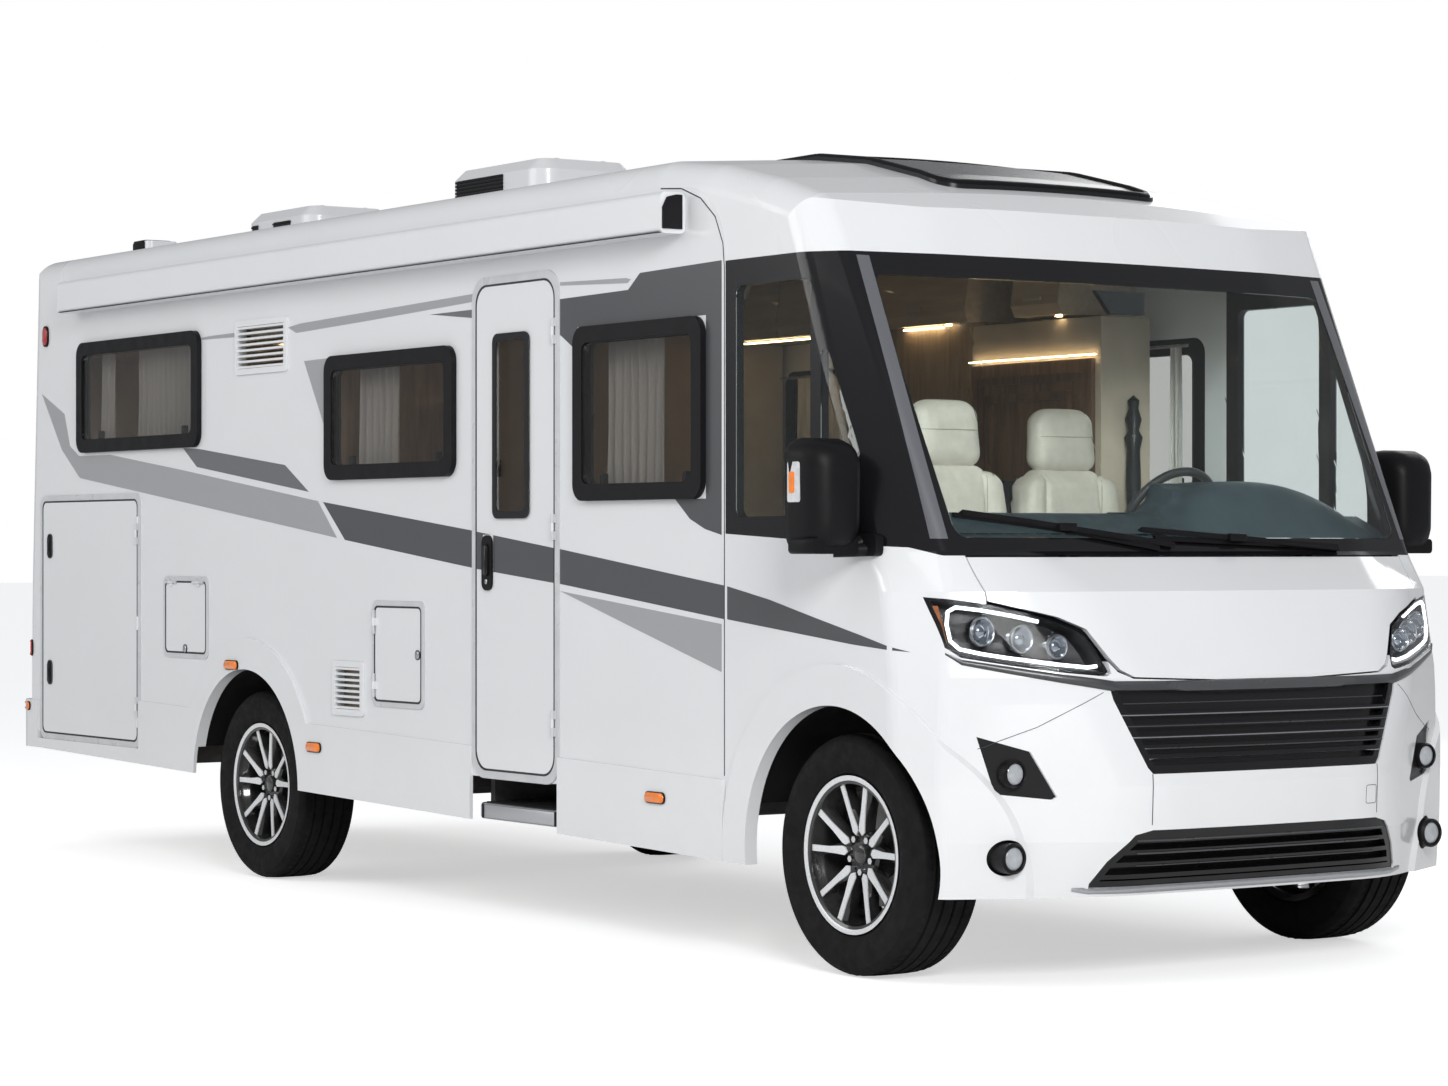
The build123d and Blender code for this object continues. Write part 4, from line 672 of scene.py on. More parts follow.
# ------------------------------------------------------------------ stripes
# Vinyl areas on the sides: colour and outline, ahead of the front axle and above the ground.
STRIPES = [
    (DARK, [(-3.394, 1.524), (-2.232, 1.407), (-1.628, 1.340), (-0.606, 1.221), (-0.606, 1.111), (-1.628, 1.218),
            (-2.232, 1.271), (-3.213, 1.375)]),
    (DARK, [(-0.590, 1.219), (-0.35, 1.178), (-0.10, 1.124), (0.15, 1.072), (0.357, 1.026), (0.10, 1.044),
            (-0.25, 1.078), (-0.590, 1.111)]),
    (MID, [(-4.646, 1.764), (-4.484, 1.756), (-3.717, 1.675), (-3.512, 1.565), (-4.513, 1.682)]),
    (LIGHT, [(-6.111, 2.044), (-5.86, 1.945), (-5.80, 1.80), (-5.70, 1.752), (-5.376, 1.752), (-4.62, 1.668),
             (-3.436, 1.528), (-3.278, 1.383), (-5.693, 1.655), (-5.888, 1.784)]),
    (LIGHT, [(-4.60, 2.212), (-4.16, 2.206), (-4.16, 2.224), (-4.40, 2.222)]),
    (LIGHT, [(-3.690, 2.222), (-3.588, 2.232), (-2.232, 2.269), (-2.232, 2.240), (-3.0, 2.214), (-3.62, 2.196)]),
    (MID, [(-2.549, 2.211), (-2.232, 2.212), (-2.232, 2.181)]),
    (LIGHT, [(-1.628, 2.262), (-1.19, 2.244), (-1.17, 2.256), (-1.20, 2.262), (-1.628, 2.274)]),
    (DARK, [(-1.628, 2.215), (-1.188, 2.221), (-1.113, 2.274), (-0.622, 2.284), (-0.622, 1.386), (-0.72, 1.406),
            (-0.809, 1.44), (-0.899, 1.507), (-1.513, 1.507), (-1.516, 2.028), (-1.628, 2.09)]),
    (LIGHT, [(-1.628, 1.193), (-0.622, 1.095), (-0.622, 0.938)]),
    (LIGHT, [(-3.554, 2.082), (-3.336, 2.085), (-3.361, 1.785)]),
]
DOOR_LEAF = (-2.196, -1.664, 0.547, 2.287)
DOOR_CUTS = [(-2.073, -1.822, 1.449, 2.114), (-2.152, -2.078, 1.188, 1.392)]
WALL_CUTS = [(-5.688, -4.470, 1.765, 2.252), (-3.349, -2.352, 1.607, 2.090), (-1.513, -0.714, 1.506, 2.110)]
RIGHT_CUTS = [(-2.232, -1.628, 0.511, 2.323), (-4.149, -3.689, 2.046, 2.270)]
VINYL = 0.0004
SLICE, SLICES = 0.03, 14
FAR = 9
SLIVER = 1e-7
cab_skin = surface_of("cab_fenders", "front_face", "cab_window_frame")


def clipped(poly, axis, value, keep_above):
    """A flat polygon cut by a line of constant first or second coordinate."""
    kept = []
    for i, p in enumerate(poly):
        q = poly[(i + 1) % len(poly)]
        p_in = (p[axis] >= value) == keep_above
        q_in = (q[axis] >= value) == keep_above
        if p_in:
            kept.append(p)
        if p_in != q_in:
            t = (value - p[axis]) / (q[axis] - p[axis])
            kept.append((p[0] + (q[0] - p[0]) * t, p[1] + (q[1] - p[1]) * t))
    return kept if len(kept) > 2 else []


def inside_rect(poly, rect):
    x0, x1, z0, z1 = rect
    for axis, value, above in ((0, x0, True), (0, x1, False), (1, z0, True), (1, z1, False)):
        poly = clipped(poly, axis, value, above)
    return poly


def outside_rect(poly, rect):
    x0, x1, z0, z1 = rect
    middle = inside_rect(poly, (x0, x1, -FAR, FAR))
    parts = [clipped(poly, 0, x0, False), clipped(poly, 0, x1, True), clipped(middle, 1, z0, False),
             clipped(middle, 1, z1, True)]
    return [part for part in parts if part]


def cut_out(parts, rects):
    for rect in rects:
        parts = [rest for part in parts for rest in outside_rect(part, rect)]
    return parts


def area_of(poly):
    return abs(sum(p[0] * q[1] - q[0] * p[1] for p, q in zip(poly, poly[1:] + poly[:1]))) / 2


def triangles_of(points):
    index = tessellate_polygon([[Vector((x, z, 0)) for x, z in points]])
    return [[points[i] for i in tri] for tri in index]


def stripe_piece(name, mat, parts, side, level, body):
    """Thin vinyl over flat parts on one side; level is the surface's distance from the middle."""
    bm = bmesh.new()

    def place(p, end):
        y = side_y(cab_skin, ax(p[0]), p[1], side, level, 1.5) if p[0] > 0.0 else level
        return (ax(p[0]), side * (y + (0.0001 + VINYL * end)), p[1])

    parts = [part for part in parts if area_of(part) > SLIVER]
    for part in parts:
        add_prism(bm, part, place)
    if parts:
        piece(name, bm, mat, body)


def stripes():
    for number, (mat, points) in enumerate(STRIPES, 1):
        for side, tag in SIDES:
            parts = []
            for part in cut_out(triangles_of(points), WALL_CUTS + (RIGHT_CUTS if side < 0 else [])):
                if max(p[0] for p in part) <= 0.0:
                    parts.append(part)
                    continue
                parts.append(clipped(part, 0, 0.0, False))
                parts += [inside_rect(part, (SLICE * k, SLICE * (k + 1), -FAR, FAR)) for k in range(SLICES)]
            stripe_piece("stripe_%02d_%s" % (number, tag), mat, parts, side, WALL_Y, "body")
            if side < 0:
                leaf = cut_out([inside_rect(part, DOOR_LEAF) for part in triangles_of(points)], DOOR_CUTS)
                stripe_piece("stripe_%02d_door" % number, mat, leaf, side, WALL_Y + 0.005, "entrance_door")


stripes()

# ------------------------------------------------------------------ tyres and rims
SIDEWALL = [
    (0.2295, 0.0995), (0.236, 0.1035), (0.2502, 0.1035), (0.2535, 0.107), (0.257, 0.1135), (0.2600, 0.1150),
    (0.2615, 0.1150), (0.266, 0.1178), (0.280, 0.1228), (0.300, 0.1262), (0.318, 0.1272), (0.336, 0.1265),
    (0.350, 0.1242), (0.3535, 0.1248), (0.3565, 0.1230), (0.3640, 0.1178), (0.3700, 0.1110),
]
WIDE, NARROW = 0.064, 0.022
CROWN = 0.3812
PITCHES = 72
LUG_LAG = 0.12


def tread_half(cut):
    """The tread from the shoulder to the middle, as (radius, out); a cut section lies a little lower."""
    shoulder, block = (0.006, 0.002) if cut else (0.0, 0.0)
    return [(0.3735, 0.1065), (0.3755, 0.1025), (0.3787 - shoulder, 0.095), (0.3797 - shoulder, WIDE + 0.010),
            (0.3800, WIDE + 0.0055), (0.3725, WIDE + 0.004), (0.3725, WIDE - 0.004), (0.3808, WIDE - 0.0055),
            (CROWN - block, 0.043), (CROWN, NARROW + 0.0055), (0.3730, NARROW + 0.004), (0.3730, NARROW - 0.004),
            (CROWN, NARROW - 0.0055)]


def tyre_piece(name, x, side):
    bm = bmesh.new()
    steps = PITCHES * 2
    loops = []
    for step in range(steps):
        cut = step % 2
        half = SIDEWALL + tread_half(cut)
        turn = 2 * math.pi * (step + (0.0 if cut else 0.25)) / steps
        loop = []
        for radius, out in half + [(r, -out) for r, out in half[::-1]]:
            lag = LUG_LAG * abs(out) if radius > 0.372 else 0.0
            c, s = math.cos(turn + lag), math.sin(turn + lag)
            loop.append((x + radius * c, side * (WHEEL_Y + out), AXLE_Z + radius * s))
        loops.append(loop)
    loft(bm, loops, closed=True)
    piece("tread_tyre_" + name, bm, "tyre", "wheel_" + name, 28, "tyre_" + name)


# Turned parts of a wheel, as (radius, out): the profile, its segments and its material.
RIM_TURNED = [
    ([(0.2292, 0.0950), (0.2292, 0.1025), (0.2485, 0.1028), (0.2492, 0.1120), (0.2450, 0.1132), (0.2330, 0.1095),
      (0.2235, 0.1070), (0.2215, 0.1010), (0.2195, 0.0800), (0.2120, 0.0700), (0.2060, 0.0400), (0.2060, -0.0600),
      (0.2240, -0.0850), (0.2240, -0.1040), (0.2470, -0.1115), (0.2485, -0.1035), (0.2292, -0.1030),
      (0.2292, -0.0830), (0.2120, -0.0620), (0.2120, 0.0650), (0.2250, 0.0790)], 120, 0),
    ([(0.0, 0.0600), (0.052, 0.0600), (0.068, 0.0640), (0.078, 0.0560), (0.080, 0.030), (0.080, -0.030),
      (0.0, -0.030)], 48, 0),
    ([(0.2485, 0.1130), (0.2492, 0.1142), (0.2450, 0.1152), (0.2335, 0.1115), (0.2335, 0.1098),
      (0.2450, 0.1134)], 120, 1),
    ([(0.0, 0.0800), (0.024, 0.0795), (0.031, 0.0765), (0.033, 0.070), (0.033, 0.055), (0.0, 0.055)], 36, 0),
    ([(0.0285, 0.0785), (0.0315, 0.0790), (0.0335, 0.0770), (0.0335, 0.0740), (0.0300, 0.0740)], 36, 3),
    ([(0.082, -0.012), (0.168, -0.012), (0.168, -0.034), (0.082, -0.034)], 72, 4),
]
BOLT = [(0.0, 0.078), (0.011, 0.078), (0.0125, 0.074), (0.0125, 0.055), (0.0, 0.055)]
RIM_MATERIALS = ["rim_black", "rim_silver", "chrome", "rim_black", "disc_steel"]
PAIRS = 5


def spoke_outline(hand):
    """One arm of a pair that splits near the hub, as (along the radius, sideways)."""
    near, far = 0.004, 0.064
    points = [(0.070, near + 0.026), (0.060, near + 0.012), (0.074, near), (0.088, near + 0.001),
              (0.140, near + 0.023), (0.222, far - 0.011), (0.224, far + 0.011), (0.150, near + 0.047),
              (0.100, near + 0.033)]
    return [(r, hand * w) for r, w in points]


def rim_piece(name, x, side):
    """A wheel with forked spokes, a bare centre cap, bolts, a valve and a brake disc."""
    bm = bmesh.new()

    def place(turn, radial, sideways, out):
        c, s = math.cos(turn), math.sin(turn)
        return (x + radial * c - sideways * s, side * (WHEEL_Y + out), AXLE_Z + radial * s + sideways * c)

    def turned(profile, segments, index, centre):
        add_lathe(bm, [(r, side * out) for r, out in profile], centre, segments=segments, index=index)

    def face_out(radius):
        return 0.080 + 0.022 * min(1.0, max(0.0, (radius - 0.06) / 0.15))

    for profile, segments, index in RIM_TURNED:
        turned(profile, segments, index, place(0.0, 0.0, 0.0, 0.0))
    for pair in range(PAIRS):
        turn = math.radians(90 + 72 * pair)
        for hand in (-1, 1):
            outline = spoke_outline(hand)
            middle_r = sum(r for r, _ in outline) / len(outline)
            middle_w = sum(w for _, w in outline) / len(outline)
            back = [(r + (r - middle_r) * 0.02, w + (w - middle_w) * 0.45) for r, w in outline]
            add_prism(bm, outline, lambda p, end: place(turn, p[0], p[1], face_out(p[0]) - 0.004 * end), 1)
            loft(bm, [[place(turn, r, w, face_out(r) - depth) for r, w in ring]
                      for ring, depth in ((outline, 0.0042), (back, 0.014), (back, 0.044))])
        turned(BOLT, 6, 2, place(turn + math.radians(36), 0.056, 0.0, 0.0))
    tube(bm, [place(math.radians(36), 0.214, 0, out) for out in (0.02, 0.05)], 0.004, 8, 3)
    piece("spoked_rim_" + name, bm, RIM_MATERIALS, "wheel_" + name, 32, "rim_" + name)


for end, x in (("front_", FRONT_AXLE), ("rear_", REAR_AXLE)):
    for side, tag in SIDES:
        tyre_piece(end + tag, x, side)
        rim_piece(end + tag, x, side)

# ------------------------------------------------------------------ lamps and front trim
LAMP_OUTLINE = [
    (-1.050, 1.194), (-0.905, 1.173), (-0.800, 1.148), (-0.720, 1.125), (-0.656, 1.094), (-0.620, 1.035),
    (-0.593, 0.967), (-0.608, 0.955), (-0.740, 0.968), (-0.866, 0.989), (-0.992, 1.013), (-1.029, 1.041),
    (-1.037, 1.110),
]
# Steps of the lamp's bowl from its back: inset and depth.
BOWL_STEPS = [(0.002, 0.075), (0.002, 0.0), (0.010, 0.0), (0.017, 0.012), (0.026, 0.052)]
PROJECTORS = ((-0.915, 1.088, 0.041), (-0.815, 1.066, 0.039), (-0.722, 1.043, 0.035))
GUIDE = [(-0.770, 1.119), (-0.840, 1.137), (-0.920, 1.154), (-0.985, 1.163), (-1.006, 1.150), (-1.012, 1.110),
         (-1.007, 1.062), (-0.985, 1.036), (-0.930, 1.022), (-0.866, 1.010), (-0.740, 0.990), (-0.650, 0.980),
         (-0.622, 0.984)]
AMBER = [(-1.036, 1.166), (-1.026, 1.168), (-1.022, 1.110), (-1.018, 1.050), (-1.027, 1.056), (-1.031, 1.110)]
LENS_DEPTH = 0.0081
ARC = [math.radians(a) for a in range(0, 91, 15)]
lens_front = Front("headlamp_lenses")
face = Front("front_face", "front_grilles", "bonnet", "cab_fenders", "headlamp_lenses")


def inset(points, distance):
    """A closed outline moved inward by a distance."""
    twice = sum(p[0] * q[1] - q[0] * p[1] for p, q in zip(points, points[1:] + points[:1]))
    turn = 1.0 if twice > 0 else -1.0
    moved = []
    for before, here, after in neighbours([Vector(p) for p in points], closed=True):
        normals = [Vector((-d.y, d.x)) * turn for d in ((here - before).normalized(), (after - here).normalized())]
        middle = (normals[0] + normals[1]).normalized()
        moved.append(tuple(here + middle * (distance / max(0.45, middle.dot(normals[0])))))
    return moved


def headlamp(side, tag):
    """A deep black bowl with three projectors, a white light guide and an amber edge."""
    def back(y, z):
        return lens_front.x(y, z) - LENS_DEPTH

    bm = bmesh.new()
    points = dense(LAMP_OUTLINE, 0.02)
    outlines = [inset(points, distance) for distance, _ in BOWL_STEPS]
    rings = loft(bm, [[(back(y, z) - depth, -side * y, z) for y, z in outline]
                      for outline, (_, depth) in zip(outlines, BOWL_STEPS)], cap=False)
    for ring, outline in ((rings[0], outlines[0]), (rings[-1], outlines[-1])):
        for tri in tessellate_polygon([[Vector((*p, 0)) for p in outline]]):
            bm.faces.new([ring[i] for i in tri])
    for y, z, r in PROJECTORS:
        centre = (back(y, z) - 0.040, -side * y, z)
        bowl = [(0.0, -0.008), (r * 0.5, -0.004), (r * 0.82, 0.010), (r * 0.95, 0.026), (r, 0.026), (r, -0.010),
                (0.0, -0.012)]
        bezel = [(r * 0.98, 0.020), (r * 1.10, 0.024), (r * 1.12, 0.015), (r * 0.98, 0.010)]
        dome = [(r * 0.66 * math.cos(a), 0.004 + r * 0.52 * math.sin(a)) for a in ARC] + [(0.0, 0.0)]
        for index, (profile, segments) in enumerate(((bowl, 40), (bezel, 40), (dome, 32)), 1):
            add_lathe(bm, profile, centre, "X", segments, index)
    piece("headlamp_bowl_" + tag, bm, ["lamp_black", "chrome", "satin_silver", "projector"],
          smooth=35, replaces="lamp_housings")
    bm = bmesh.new()
    tube(bm, [(back(y, z) - 0.008, -side * y, z) for y, z in dense(GUIDE, 0.02, closed=False)], 0.0058, 12)
    piece("light_guide_" + tag, bm, "daylight", smooth=60)
    bm = bmesh.new()
    add_prism(bm, AMBER, lambda p, end: (back(*p) - 0.002 - 0.010 * end, -side * p[0], p[1]))
    piece("amber_edge_" + tag, bm, "amber_dark")


for side, tag in SIDES:
    headlamp(side, tag)

# The plates behind the fog lamps, as in the CAD, without the headlamps' solid backs above them.
bm = bmesh.new()
bm.from_mesh(nodes["lamp_housings"].data)
bmesh.ops.delete(bm, geom=[v for v in bm.verts if v.co.z > 0.86], context="VERTS")
piece("fog_backs", bm, "lamp_black")


def round_lamp(name, place, r, bezel, proud):
    bm = bmesh.new()
    front = [(r * math.sin(a), proud - 0.010 + 0.012 * math.cos(a)) for a in ARC]
    profiles = (
        ([(0.0, 0.0), (r * 0.6, 0.003), (r * 0.95, 0.018), (r * 1.02, 0.022), (r * 1.04, 0.0),
          (0.0, -0.002)], 48, 1),
        ([(r, proud), (r + bezel * 0.4, proud + 0.003), (r + bezel, proud - 0.004), (r + bezel, 0.0),
          (r * 1.03, 0.0)], 48, 0),
        (front + [(a, out - 0.003) for a, out in front[::-1]], 48, 2),
        ([(0.0, 0.004), (r * 0.22, 0.004), (r * 0.22, 0.020), (r * 0.12, 0.026), (0.0, 0.028)], 20, 3),
    )
    for profile, segments, index in profiles:
        add_lathe(bm, profile, place, "X", segments, index)
    piece(name, bm, ["black_plastic", "chrome", "bulb_glass", "satin_silver"], smooth=35)


for side, tag in SIDES:
    round_lamp("fog_lamp_upper_" + tag, (3.3395, side * 0.868, 0.659), 0.034, 0.008, 0.034)
    round_lamp("fog_lamp_lower_" + tag, (3.3245, side * 0.881, 0.405), 0.036, 0.011, 0.060)


def draped_band(name, half_path, mat, lift, target=face):
    """A raised band across the front; its right half's rows are y, z and half height, ending at the middle."""
    path = half_path + [(-y, *rest) for y, *rest in half_path[-2::-1]]
    section = ((1.0, 0.0), (1.0, 0.5), (0.72, 1.0), (0.0, 1.12), (-0.72, 1.0), (-1.0, 0.5), (-1.0, 0.0))
    bm = bmesh.new()
    loft(bm, [[(target.x(y, z + half * share) + 0.0003 + lift * up, y, z + half * share) for share, up in section]
              for y, z, half in dense(path, 0.03, closed=False)])
    piece(name, bm, mat, smooth=50)


draped_band("lamp_to_lamp_bar", [
    (-1.030, 1.022, 0.003), (-0.992, 0.997, 0.008), (-0.866, 0.972, 0.011), (-0.740, 0.948, 0.013),
    (-0.650, 0.934, 0.015), (-0.585, 0.923, 0.016), (-0.40, 0.921, 0.016), (0.0, 0.921, 0.016)], "bar", 0.006)
# Bands along the grille slats' edges: the satin silver ones are painted highlights where the glossy black slats
# catch the light; the others are dark slat edges.
for number, z in enumerate((0.868, 0.834, 0.800, 0.766, 0.732, 0.700)):
    reach = 0.575 - max(0.0, 0.86 - z) * 0.45
    draped_band("grille_edge_%d" % number, [(-reach, z, 0.0018), (-reach * 0.6, z, 0.0020), (0.0, z, 0.0020)],
                "satin_silver" if number % 2 else "bar", 0.0022, Front("front_grilles"))
for number, z in enumerate((0.452, 0.412, 0.372)):
    reach = 0.50 + (z - 0.372) * 0.2
    draped_band("lower_edge_%d" % number, [(-reach, z, 0.003), (0.0, z, 0.003)], "bar", 0.0025,
                Front("front_grilles"))
draped_band("silver_lip", [(-0.690, 0.305, 0.006), (-0.640, 0.300, 0.010), (-0.5, 0.299, 0.011),
                           (0.0, 0.299, 0.011)], "satin_silver", 0.004)

# ------------------------------------------------------------------ side lamps, latches, seams
side_skin = surface_of("side_wall_right", "side_wall_left", "rear_wall", "rear_bumper", "side_skirts")


def side_pad(name, side, place, sizes, level, proud, mats, body="body", rim=0.0, surface=None, radius=None):
    """A rounded pad on a side wall, with an optional bezel; it follows a surface where one is given."""
    x, z = place
    width, height = sizes
    bm = bmesh.new()

    def base(px, pz):
        if surface is None:
            return level
        y = side_y(surface, px, pz, side, 0.0)
        return y if y > level - 0.06 else level - 0.02

    radius = radius or min(width, height) * 0.45
    outer = rounded_points(-width / 2, width / 2, -height / 2, height / 2, radius)
    if rim:
        wide, tall = width / 2 + rim, height / 2 + rim
        bigger = rounded_points(-wide, wide, -tall, tall, radius + rim)
        add_ring(bm, bigger, outer, lambda p, end: (
            x + p[0], side * (base(x + p[0], z + p[1]) + 0.0002 + end * proud * 0.55), z + p[1]), 1)
    loops = []
    for shrink, up in ((0.0, 0.0), (0.0, 0.55), (0.0016, 0.85), (0.004, 1.0)):
        places = [(x + px * (1 - shrink * 2 / width), z + pz * (1 - shrink * 2 / height)) for px, pz in outer]
        loops.append([(px, side * (base(px, pz) + 0.0002 + up * proud), pz) for px, pz in places])
    loft(bm, loops)
    piece(name, bm, mats, body, 40)


AMBER_LAMP, RED_LAMP = ["amber_lens", "black_plastic"], ["red_lens", "black_plastic"]
MARKERS = ((-4.160, 0.866, 1.124), (-3.440, 0.563, 1.124), (-0.995, 0.507, 1.124), (-6.262, 0.625, 1.1145))
LEAF_Y = WALL_Y + 0.005
for side, tag in SIDES:
    for number, (x, z, level) in enumerate(MARKERS):
        side_pad("side_marker_%d_%s" % (number, tag), side, (ax(x), z), (0.112, 0.034), level, 0.012, AMBER_LAMP,
                 rim=0.003, surface=side_skin)
    side_pad("high_marker_" + tag, side, (ax(-6.06), 2.302), (0.040, 0.078), WALL_Y, 0.014, RED_LAMP,
             rim=0.008, surface=side_skin)
    side_pad("low_marker_" + tag, side, (ax(-6.225), 0.890), (0.034, 0.070), WALL_Y, 0.012, RED_LAMP,
             rim=0.003, surface=side_skin)
    door = "garage_door_" + tag
    for number, z in enumerate((1.353, 0.784)):
        side_pad("garage_latch_%d_%s" % (number, tag), side, (ax(-6.004), z), (0.044, 0.105), LEAF_Y, 0.009,
                 ["black_plastic", "bar"], door, rim=0.003)
        side_pad("garage_grip_%d_%s" % (number, tag), side, (ax(-6.004), z), (0.018, 0.050), WALL_Y + 0.014, 0.005,
                 "black_gloss", door)
    for number, z in enumerate((1.45, 1.02, 0.60)):
        side_pad("garage_hinge_%d_%s" % (number, tag), side, (ax(-5.082), z), (0.018, 0.060), LEAF_Y, 0.006,
                 "white_paint", door, radius=0.006)
for hatch, x, z in (("service_hatch_rear", -4.612, 0.922), ("service_hatch_front", -2.630, 0.944)):
    side_pad(hatch + "_latch", -1, (ax(x), z), (0.030, 0.030), LEAF_Y, 0.006, ["satin_silver", "black_plastic"],
             hatch, rim=0.003)
side_pad("door_handle_grip", -1, (ax(-2.115), 1.300), (0.026, 0.110), 1.123, 0.010,
         ["black_gloss", "black_plastic"], "entrance_door", rim=0.004)
side_pad("door_lock", -1, (ax(-2.115), 1.222), (0.018, 0.018), 1.123, 0.003, ["satin_silver", "black_plastic"],
         "entrance_door", rim=0.002)

# Dark joint lines between the side wall and the cab, and round the roof cap.
joint_skin = surface_of("side_wall_right", "side_wall_left", "cab_fenders", "roof_cap", "roof_panel",
                        "side_skirts", "cab_window_frame", "front_face")
CAB_JOINT = [(-0.606, z) for z in (0.60, 0.8, 1.0, 1.2, 1.5, 1.8, 2.1, 2.26)] + [
    (-0.615, 2.34), (-0.660, 2.43), (-0.745, 2.497), (-0.86, 2.538), (-0.985, 2.548)]
for side, tag in SIDES:
    ribbon("cab_joint_" + tag, [(ax(x), z) for x, z in CAB_JOINT],
           ((0.0022, 0.0), (0.0022, 0.0005), (-0.0022, 0.0005), (-0.0022, 0.0)),
           lambda x, z, up: (x, side * (side_y(joint_skin, x, z, side, WALL_Y) + 0.0002 + up), z),
           "seam")

# ------------------------------------------------------------------ cabin
LIGHT_SPANS = ((-2.9, -2.2), (-1.7, -1.0), (-0.4, 0.2), (0.69, 0.93))
LOCKER_SPANS = {1: ((-3.20, 1.15), (1.42, 1.70)), -1: ((-3.20, 0.50), (1.16, 1.70))}
LOCKER_LAMPS = {1: (0.98, 1.64), -1: (1.30, 1.64)}
LOCKER = [(0.70, 2.20), (0.68, 2.24), (0.72, 2.50), (0.76, 2.545), (1.06, 2.545), (1.06, 2.20)]
CEILING_Z = 2.560


def cabin_lining():
    """Ceiling, lockers and lamps inside the shell."""
    bm = bmesh.new()
    add_box(bm, -3.28, 1.72, -1.00, 1.00, CEILING_Z, CEILING_Z + 0.012, 0.004)
    add_box(bm, 1.72, 2.30, -0.93, 0.93, 2.420, 2.432, 0.004)
    for x in (-2.6, -1.9, -1.2, -0.5, 0.2, 0.9, 1.45):
        add_box(bm, x - 0.004, x + 0.004, -0.98, 0.98, CEILING_Z - 0.004, CEILING_Z + 0.001, 0.001)
    piece("ceiling_lining", bm, "ceiling_beige", smooth=40)
    for side, tag in SIDES:
        bm = bmesh.new()
        for x0, x1 in LOCKER_SPANS[side]:
            count = max(1, round((x1 - x0) / 0.62))
            for k in range(count):
                a, b = x0 + (x1 - x0) * k / count, x0 + (x1 - x0) * (k + 1) / count
                add_prism(bm, LOCKER, lambda p, end: ((a + 0.003, b - 0.003)[end], side * p[0], p[1]))
                middle = (a + b) / 2
                add_box(bm, middle - 0.05, middle + 0.05, side * 0.668, side * 0.676, 2.255, 2.268, 0.003, index=1)
        piece("lockers_" + tag, bm, ["locker_wood", "satin_silver"], smooth=35)
        bm = bmesh.new()
        for x0, x1 in LIGHT_SPANS:
            add_box(bm, x0, x1, side * 0.735, side * 0.755, 2.188, 2.194, 0.002)
        for x in LOCKER_LAMPS[side]:
            disc = [(0.0, 0.0), (0.013, 0.0), (0.013, -0.006), (0.0, -0.006)]
            add_lathe(bm, disc, (x, side * 0.735, 2.199), "Z", 20)
        piece("light_strips_" + tag, bm, "warm_light")
    bm = bmesh.new()
    for x in (-2.2, -1.4, -0.6, 0.2, 1.0, 1.5):
        for y in (-0.42, 0.42):
            centre = (x, y, CEILING_Z - 0.001)
            add_lathe(bm, [(0.0, 0.0), (0.018, 0.0), (0.018, -0.006), (0.0, -0.006)], centre, "Z", 20)
            add_lathe(bm, [(0.018, 0.0), (0.027, 0.0), (0.027, -0.004), (0.0185, -0.008)], centre, "Z", 20, 1)
    piece("ceiling_spots", bm, ["warm_light", "satin_silver"])


POST = [(0.0, 1.004), (0.030, 1.004), (0.034, 1.06), (0.020, 1.10), (0.026, 1.30), (0.034, 1.38), (0.020, 1.44),
        (0.028, 1.58), (0.024, 1.70), (0.034, 1.745), (0.020, 1.77), (0.030, 1.81), (0.018, 1.85), (0.022, 1.88),
        (0.0, 1.90)]


def tall_unit():
    """A tall cupboard with a framed wood door, lit along its top edge, and a turned post before it."""
    x0, x1, y = ax(-1.66), ax(-0.91), 0.750
    left, right, top = x0 + 0.02, x1 - 0.03, 2.034
    bm = bmesh.new()
    add_box(bm, x0, x1, y, 0.985, 1.004, 2.186, 0.004)
    piece("tall_unit", bm, "wall_beige", smooth=40)
    bm = bmesh.new()
    add_box(bm, left, right, y - 0.020, y - 0.001, 1.01, top, 0.003)
    for edge, depth in ((0.05, 0.012), (0.115, 0.022)):
        outer = rounded_points(left + edge, right - edge, 0.90, top - edge, 0.006, 2)
        inner = rounded_points(left + 0.03 + edge, right - 0.03 - edge, 0.93, top - 0.03 - edge, 0.004, 2)
        add_ring(bm, outer, inner, lambda p, end: (p[0], y - 0.020 - depth * end, max(1.012, p[1])))
    piece("tall_unit_door", bm, "door_wood", smooth=35)
    bm = bmesh.new()
    add_box(bm, x0 + 0.01, x1 - 0.010, y - 0.024, y - 0.014, 2.044, 2.049, 0.001)
    piece("tall_unit_light", bm, "warm_light")
    bm = bmesh.new()
    add_box(bm, ax(-3.35), ax(-3.33), -0.40, 1.05, 0.60, 2.50, 0.004)
    piece("mid_partition", bm, "wall_beige")
    bm = bmesh.new()
    add_lathe(bm, POST, (ax(-0.870), 0.870, 0), "Z", 28)
    add_box(bm, ax(-0.908), ax(-0.832), 0.832, 0.908, 0.62, 1.006, 0.006)
    piece("turned_post", bm, "dash_dark", smooth=45)


cabin_lining()
tall_unit()

CURTAIN_Y, CURTAIN_ROWS, FOLD_WIDTH = 1.028, 14, 0.050


